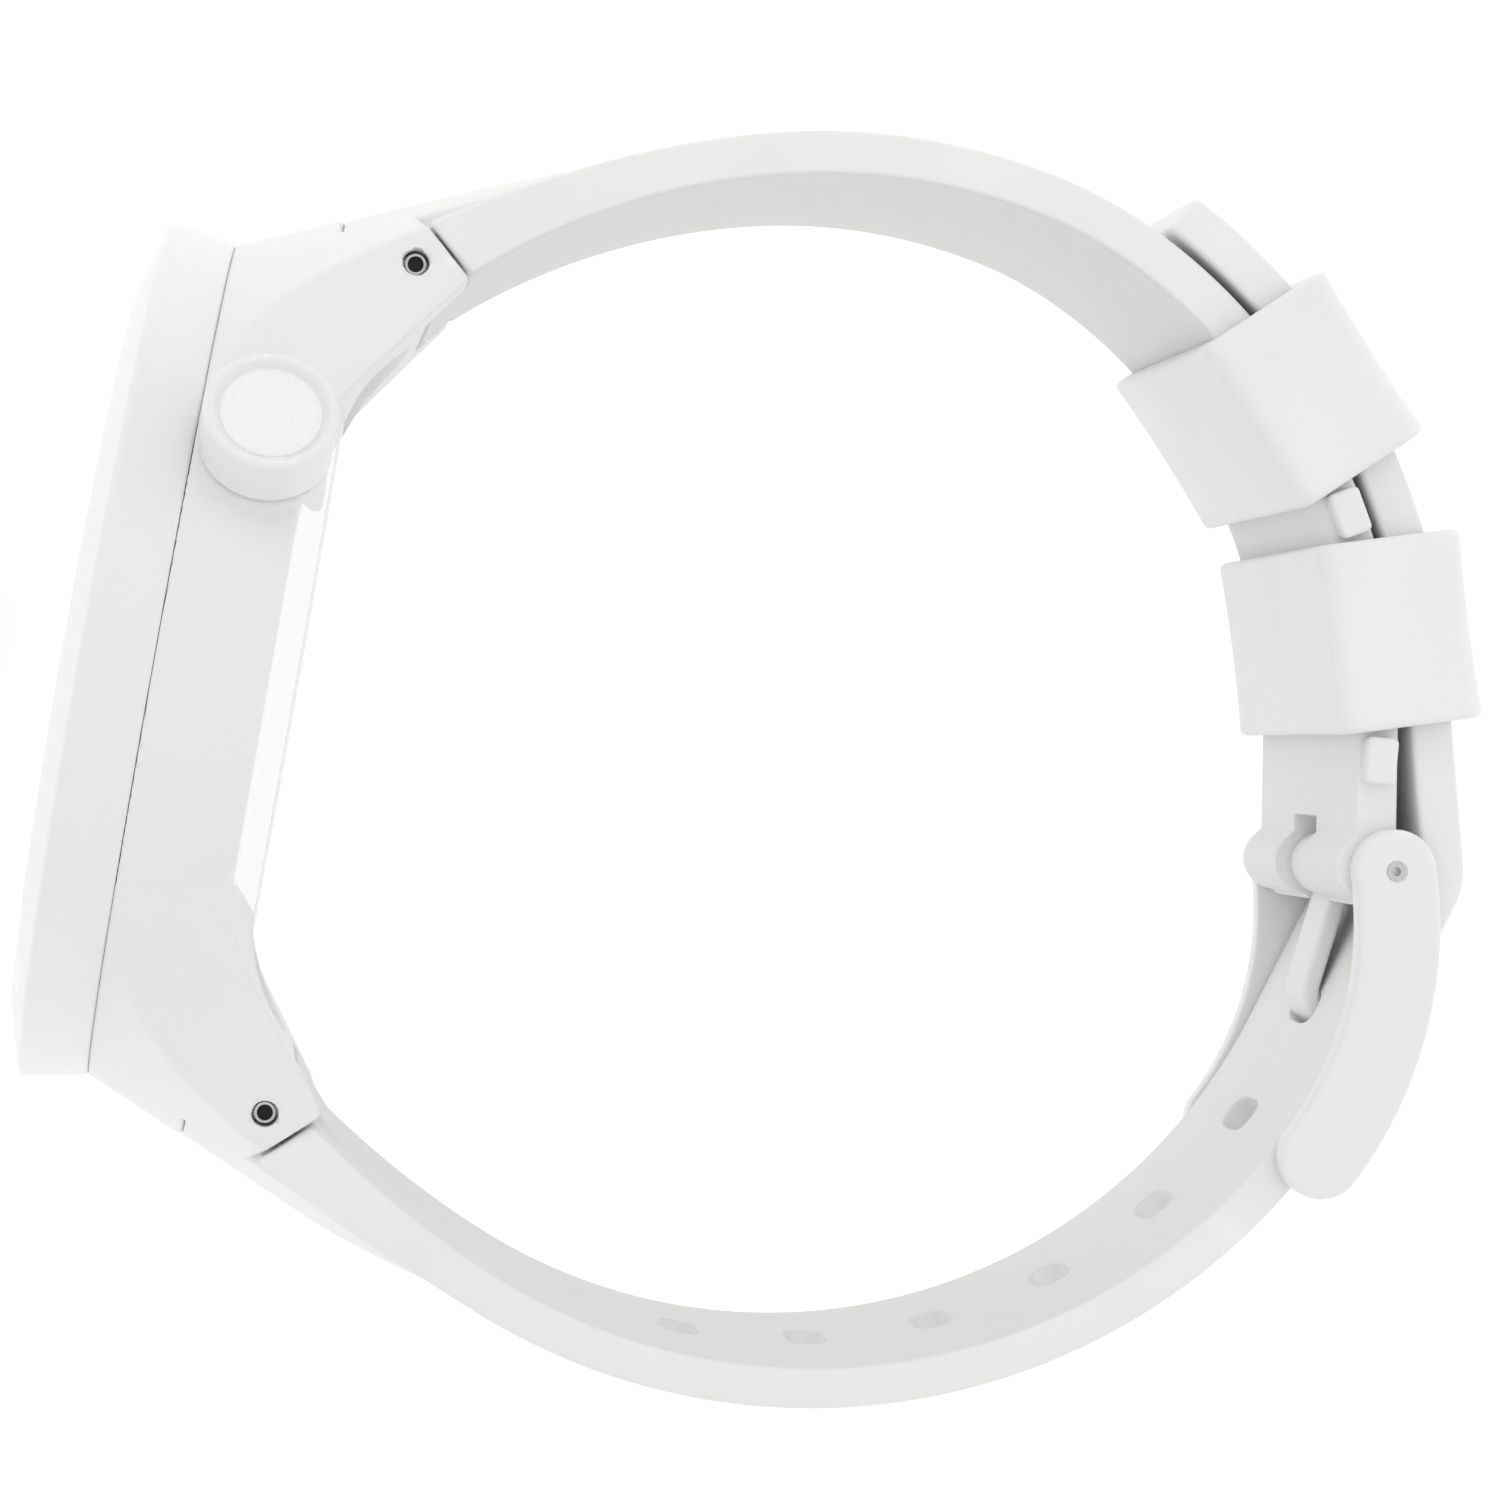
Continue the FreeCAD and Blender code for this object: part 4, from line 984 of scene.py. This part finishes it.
buckleLook = {"pin": (59.15, 0.2), "middle": (60.15, -7.0), "end": (57.85, -15.5), "halfWidth": 2.25,
              "plate": (11.98, 13.45), "rim": 0.4, "insideRim": 0.15, "bar": (59.2, -15.98),
              "barHalf": (0.85, 1.2), "barRound": 0.62, "barReach": 12.6, "barTilt": -27.5,
              "bore": 0.505, "dimple": (0.6, 14.3)}
tongueLook = {"half": 2.4, "thick": 0.95, "lean": 7.3, "reach": 8.45, "bend": 1.6, "corner": 0.28,
              "hub": (1.5, 1.72, 0.5), "bore": 0.54}


def circleThrough(a, b, c):
    a, b, c = [np.array(v, float) for v in (a, b, c)]
    m = 2 * np.array([b - a, c - a])
    v = np.array([b @ b - a @ a, c @ c - a @ a])
    centre = np.linalg.solve(m, v)
    return centre, float(np.linalg.norm(a - centre))


def plateOutline(look):
    # band of even width along an arc, with round ends
    centre, radius = circleThrough(look["pin"], look["middle"], look["end"])
    w = look["halfWidth"]
    ends = [math.degrees(math.atan2(*(np.array(look[k]) - centre)[::-1])) for k in ("pin", "end")]
    a = np.linspace(ends[0], ends[1], 40)
    cap = np.linspace(0, 180, 26)[1:-1]
    outer = polar(a, radius + w, centre)
    tail = polar(ends[1] - cap, w, look["end"])
    inner = polar(a[::-1], radius - w, centre)
    head = polar(ends[0] + 180 - cap, w, look["pin"])
    return np.concatenate([outer, tail, inner, head])


def barShell(look):
    outline, reach = oblong(*look["barHalf"], look["barRound"], 6), look["barReach"]
    a = math.radians(look["barTilt"])
    axes = [(math.cos(a), math.sin(a), 0), (-math.sin(a), math.cos(a), 0), (0, 0, 1)]
    return prism(outline, -reach, reach, 0.05, 0.05, axes, look["bar"] + (0,))


outline = plateOutline(buckleLook)
(z0, z1), rim, insideRim = buckleLook["plate"], buckleLook["rim"], buckleLook["insideRim"]
buckleFrame = makeObject("buckleFrame", prism(outline, z0, z1, rim, insideRim))
carve(buckleFrame, [prism(outline, -z1, -z0, insideRim, rim)], "UNION")
carve(buckleFrame, [barShell(buckleLook)], "UNION")
carve(buckleFrame, [pinBore(buckleLook["pin"], buckleLook["bore"], 15)])
radius, height = buckleLook["dimple"]
dimple = polar(np.linspace(0, 360, 40, endpoint=False), radius)
places = [buckleLook["pin"] + (side * height,) for side in (-1, 1)]
carve(buckleFrame, [prism(dimple, -1, 1, 0, 0, None, place, 1) for place in places])
finishPiece(buckleFrame, "buckle", finishes["buckleWhite"], ["buckle_frame"], 32)


def tongueShell(look, pin):
    # flat strip from the hub, bent round into a short peg that points through the strap
    lean = math.radians(look["lean"])
    down = np.array([-math.sin(lean), -math.cos(lean)])
    out = np.array([math.cos(lean), -math.sin(lean)])
    corner = np.array(pin) + down * look["reach"]
    bend = look["bend"]
    straight = np.array(pin) + down * np.linspace(0, look["reach"] - bend, 16)[:, None]
    t = np.linspace(0, math.pi / 2, 14)[1:]
    centre = corner - down * bend + out * bend
    turn = centre + bend * (down[None] * np.sin(t)[:, None] - out[None] * np.cos(t)[:, None])
    peg = turn[-1] + out * np.linspace(0.25, 1.25, 5)[:, None]
    line = np.concatenate([straight, turn, peg])
    turning = -(out[None] * np.cos(t)[:, None] - down[None] * np.sin(t)[:, None])
    normal = np.concatenate([np.repeat(-out[None], 16, 0), turning, np.repeat(down[None], 5, 0)])
    thick, half = np.full(len(line), look["thick"]), np.full(len(line), look["half"])
    return bandShell(line - normal * (thick / 2)[:, None], normal, thick, half, look["corner"], flats=6)


pinPlace = buckleLook["pin"]
buckleTongue = makeObject("buckleTongue", tongueShell(tongueLook, pinPlace))
hubRadius, swellRadius, swellShift = tongueLook["hub"]
round48 = np.linspace(0, 360, 48, endpoint=False)
for radius, shift in ((hubRadius, 0.0), (swellRadius, swellShift)):
    place = (pinPlace[0] - shift, pinPlace[1])
    hub = prism(polar(round48, radius, place), -tongueLook["half"], tongueLook["half"], 0.2, 0.2)
    carve(buckleTongue, [hub], "UNION")
carve(buckleTongue, [pinBore(pinPlace, tongueLook["bore"], 4)])
finishPiece(buckleTongue, "tongue", finishes["tongueWhite"], ["buckle_tongue"], 40)
print("stage: buckle built")


# Display: dark glass with a plan of a hole, distances in plain numbers and a ring of ticks

displayLook = {
    "front": -10.05, "tickFront": -10.42, "tickOuter": 18.1,
    "longTick": (16.75, 0.17), "shortTick": (17.3, 0.08),
    "numbers": [("152", 0.0, 0.3, 7.0), ("163", 0.0, 7.2, 3.4), ("141", 0.0, -6.0, 3.4),
                ("7", -9.6, 7.2, 2.8), ("4", 9.2, 7.2, 2.8), ("10:24", 0.0, 12.0, 2.4)],
}


def displayPanel():
    # near-black panel with a fine mesh of cells and a soft glow about its middle
    g = Graph("displayPanel")
    x, y, z = g.parts(g.spot)
    meshY, meshZ = [((v * 9000.0).math("FRACT") - 0.5).math("ABSOLUTE") for v in (y, z)]
    mesh = meshY + meshZ
    r = (y * y + z * z).math("SQRT") / mm
    glow = 1 - r.between(9.0, 16.8)
    colour = g.mix(glow * 0.6 + mesh * 0.1, rgb(0.006, 0.008, 0.01), rgb(0.02, 0.03, 0.035))
    return g.finish(Base_Color=colour, Roughness=0.22, Emission_Color=colour, Emission_Strength=0.4,
                    Normal=g.bump(mesh, 0.002, 0.3))


def lit(name, colour, strength):
    g = Graph(name)
    x, y, z = g.parts(g.spot)
    meshY, meshZ = [(v * 9000.0).math("FRACT").math("GREATER_THAN", 0.12) for v in (y, z)]
    mesh = meshY * meshZ
    shade = g.mix(mesh, tuple(c * 0.75 for c in colour[:3]) + (1.0,), colour)
    return g.finish(Base_Color=shade, Roughness=0.35, Emission_Color=shade, Emission_Strength=strength,
                    Normal=g.bump(mesh, 0.002, 0.4))


finishes["displayPanel"] = displayPanel()
litLooks = {"litWhite": (rgb(0.85, 0.88, 0.9), 0.7), "litGreen": (rgb(0.09, 0.45, 0.12), 0.6),
            "litDeep": (rgb(0.02, 0.14, 0.05), 0.5), "litSand": (rgb(0.75, 0.6, 0.3), 0.5)}
finishes.update({name: lit(name, *look) for name, look in litLooks.items()})
finishes["inkWhite"] = darkMoulding("inkWhite", grey(0.6), 0.5)
for place in nodes["display_panel"].material_slots:
    place.material = finishes["displayPanel"]


def flatPatch(name, y, z, level, finish):
    # thin plate on the display, from the (z, y) points of its edge
    axes, origin = [(0, 0, 1), (0, 1, 0), (-1, 0, 0)], (displayLook["front"] - 0.004, 0, 0)
    made = makeObject(name, prism(np.stack([z, y], -1), 0.0, level, 0.004, 0.0, axes, origin, 1))
    return finishPiece(made, "watch", finishes[finish])


def blob(cy, cz, ry, rz, wobble, phase, n=90):
    # ellipse whose radius swells and shrinks by a few sine waves
    a = np.linspace(0, 2 * math.pi, n, endpoint=False)
    k = 1 + wobble * (np.sin(2 * a + phase) + 0.5 * np.sin(3 * a + 2 * phase))
    return cy + ry * k * np.sin(a), cz + rz * k * np.cos(a)


flatPatch("holeRough", *blob(0.0, 0.0, 13.6, 9.6, 0.05, 0.7), 0.006, "litDeep")
flatPatch("holeFairway", *blob(-1.6, 0.4, 10.6, 6.2, 0.07, 1.6), 0.012, "litGreen")
flatPatch("holeBunkerLeft", *blob(5.4, -6.6, 1.5, 1.1, 0.12, 0.4, 40), 0.018, "litSand")
flatPatch("holeBunkerRight", *blob(-6.4, 6.6, 1.7, 0.9, 0.12, 2.1, 40), 0.018, "litSand")


def tickShells():
    shells = []
    for k in range(60):
        a = math.radians(6 * k)
        r0, w = displayLook["shortTick" if k % 5 else "longTick"]
        r1 = displayLook["tickOuter"]
        outline = np.array([(-w, r0), (w, r0), (w, r1), (-w, r1)])
        axes = [(0, -math.sin(a), math.cos(a)), (0, math.cos(a), math.sin(a)), (-1, 0, 0)]
        shells.append(prism(outline, 0.0, 0.02, 0.0, 0.0, axes, (displayLook["tickFront"], 0, 0), 1))
    return shells


finishPiece(makeObject("minuteTicks", joinShells(tickShells())), "watch", finishes["inkWhite"])


def numberPiece(text, z, y, size, index):
    # plain figures, made a mesh and laid on the display facing the wearer
    curve = bpy.data.curves.new("figures", "FONT")
    curve.body, curve.size = text, size * 1.35 * mm
    curve.align_x, curve.align_y = "CENTER", "CENTER"
    curve.extrude = 0.008 * mm
    holder = bpy.data.objects.new("figures", curve)
    bpy.context.scene.collection.objects.link(holder)
    bpy.context.view_layer.update()
    mesh = bpy.data.meshes.new_from_object(holder.evaluated_get(bpy.context.evaluated_depsgraph_get()))
    bpy.data.objects.remove(holder)
    front = (displayLook["front"] - 0.03) * mm
    mesh.transform(Matrix(((0, 0, -1, front), (0, 1, 0, y * mm), (1, 0, 0, z * mm), (0, 0, 0, 1))))
    made = bpy.data.objects.new("displayNumber%d" % index, mesh)
    bpy.context.scene.collection.objects.link(made)
    return finishPiece(made, "watch", finishes["litWhite"])


for index, (text, z, y, size) in enumerate(displayLook["numbers"]):
    numberPiece(text, z, y, size, index)
print("stage: display built")


# Floor, light and camera

stageLook = {"floor": -23.65, "floorSize": 1500.0, "floorGlow": 0.26, "sky": (0.86, 0.99)}


def floorFinish():
    # pale matte card that glows a little, so that it stays even
    g = Graph("floorCard")
    fibre = g.noise(900.0, 4.0)
    colour = g.mix(fibre, grey(0.93), grey(0.95))
    return g.finish(Base_Color=colour, Roughness=0.9, Emission_Color=grey(1),
                    Emission_Strength=stageLook["floorGlow"], Normal=g.bump(fibre, 0.01, 0.2))


half, level = stageLook["floorSize"], stageLook["floor"]
floorCorners = [(-half, -half, level), (half, -half, level), (half, half, level), (-half, half, level)]
floor = makeObject("floorCard", (np.array(floorCorners), [[0, 1, 2, 3]]))
floor.data.materials.append(floorFinish())

world = bpy.data.worlds.new("studioSky")
bpy.context.scene.world = world
world.use_nodes = True
sky = world.node_tree
direction = sky.nodes.new("ShaderNodeTexCoord")
split = sky.nodes.new("ShaderNodeSeparateXYZ")
fade = sky.nodes.new("ShaderNodeMapRange")
sky.links.new(direction.outputs["Generated"], split.inputs[0])
sky.links.new(split.outputs["Z"], fade.inputs["Value"])
fade.inputs["To Min"].default_value, fade.inputs["To Max"].default_value = stageLook["sky"]
sky.links.new(fade.outputs[0], sky.nodes["Background"].inputs["Strength"])
sky.nodes["Background"].inputs["Color"].default_value = (1, 1, 1, 1)


def softbox(name, place, aim, size, power):
    light = bpy.data.lights.new(name, "AREA")
    light.shape, light.size, light.energy = "DISK", size * mm, power
    made = bpy.data.objects.new(name, light)
    bpy.context.scene.collection.objects.link(made)
    place, aim = np.array(place, float) * mm, np.array(aim, float) * mm
    back = (place - aim) / np.linalg.norm(place - aim)
    side = np.cross((0, 1, 0.01), back)
    side /= np.linalg.norm(side)
    up = np.cross(back, side)
    made.matrix_world = Matrix(((side[0], up[0], back[0], place[0]), (side[1], up[1], back[1], place[1]),
                                (side[2], up[2], back[2], place[2]), (0, 0, 0, 1)))
    return made


softbox("keyBox", (-260, 420, 260), (10, 0, 0), 320, 0.21)
softbox("fillBox", (420, 120, 160), (30, 0, 0), 260, 0.1)

cameraLook = {"place": (-2.13, -3.80, 258.96), "right": (0.979, 0.1735, 0.1069),
              "back": (-0.1054, -0.0175, 0.9943), "lens": 112.8}


def makeCamera(look):
    data = bpy.data.cameras.new("studioCamera")
    data.lens, data.sensor_width = look["lens"], 36.0
    data.clip_start, data.clip_end = 0.01, 20.0
    made = bpy.data.objects.new("studioCamera", data)
    bpy.context.scene.collection.objects.link(made)
    back = np.array(look["back"]) / np.linalg.norm(look["back"])
    right = np.array(look["right"]) - back * (back @ np.array(look["right"]))
    right /= np.linalg.norm(right)
    up = np.cross(back, right)
    rows = np.column_stack([right, up, back, np.array(look["place"]) * mm]).tolist()
    made.matrix_world = Matrix(rows + [[0, 0, 0, 1]])
    bpy.context.scene.camera = made


makeCamera(cameraLook)
bpy.context.scene.view_settings.view_transform = "Standard"
print("stage: studio ready")
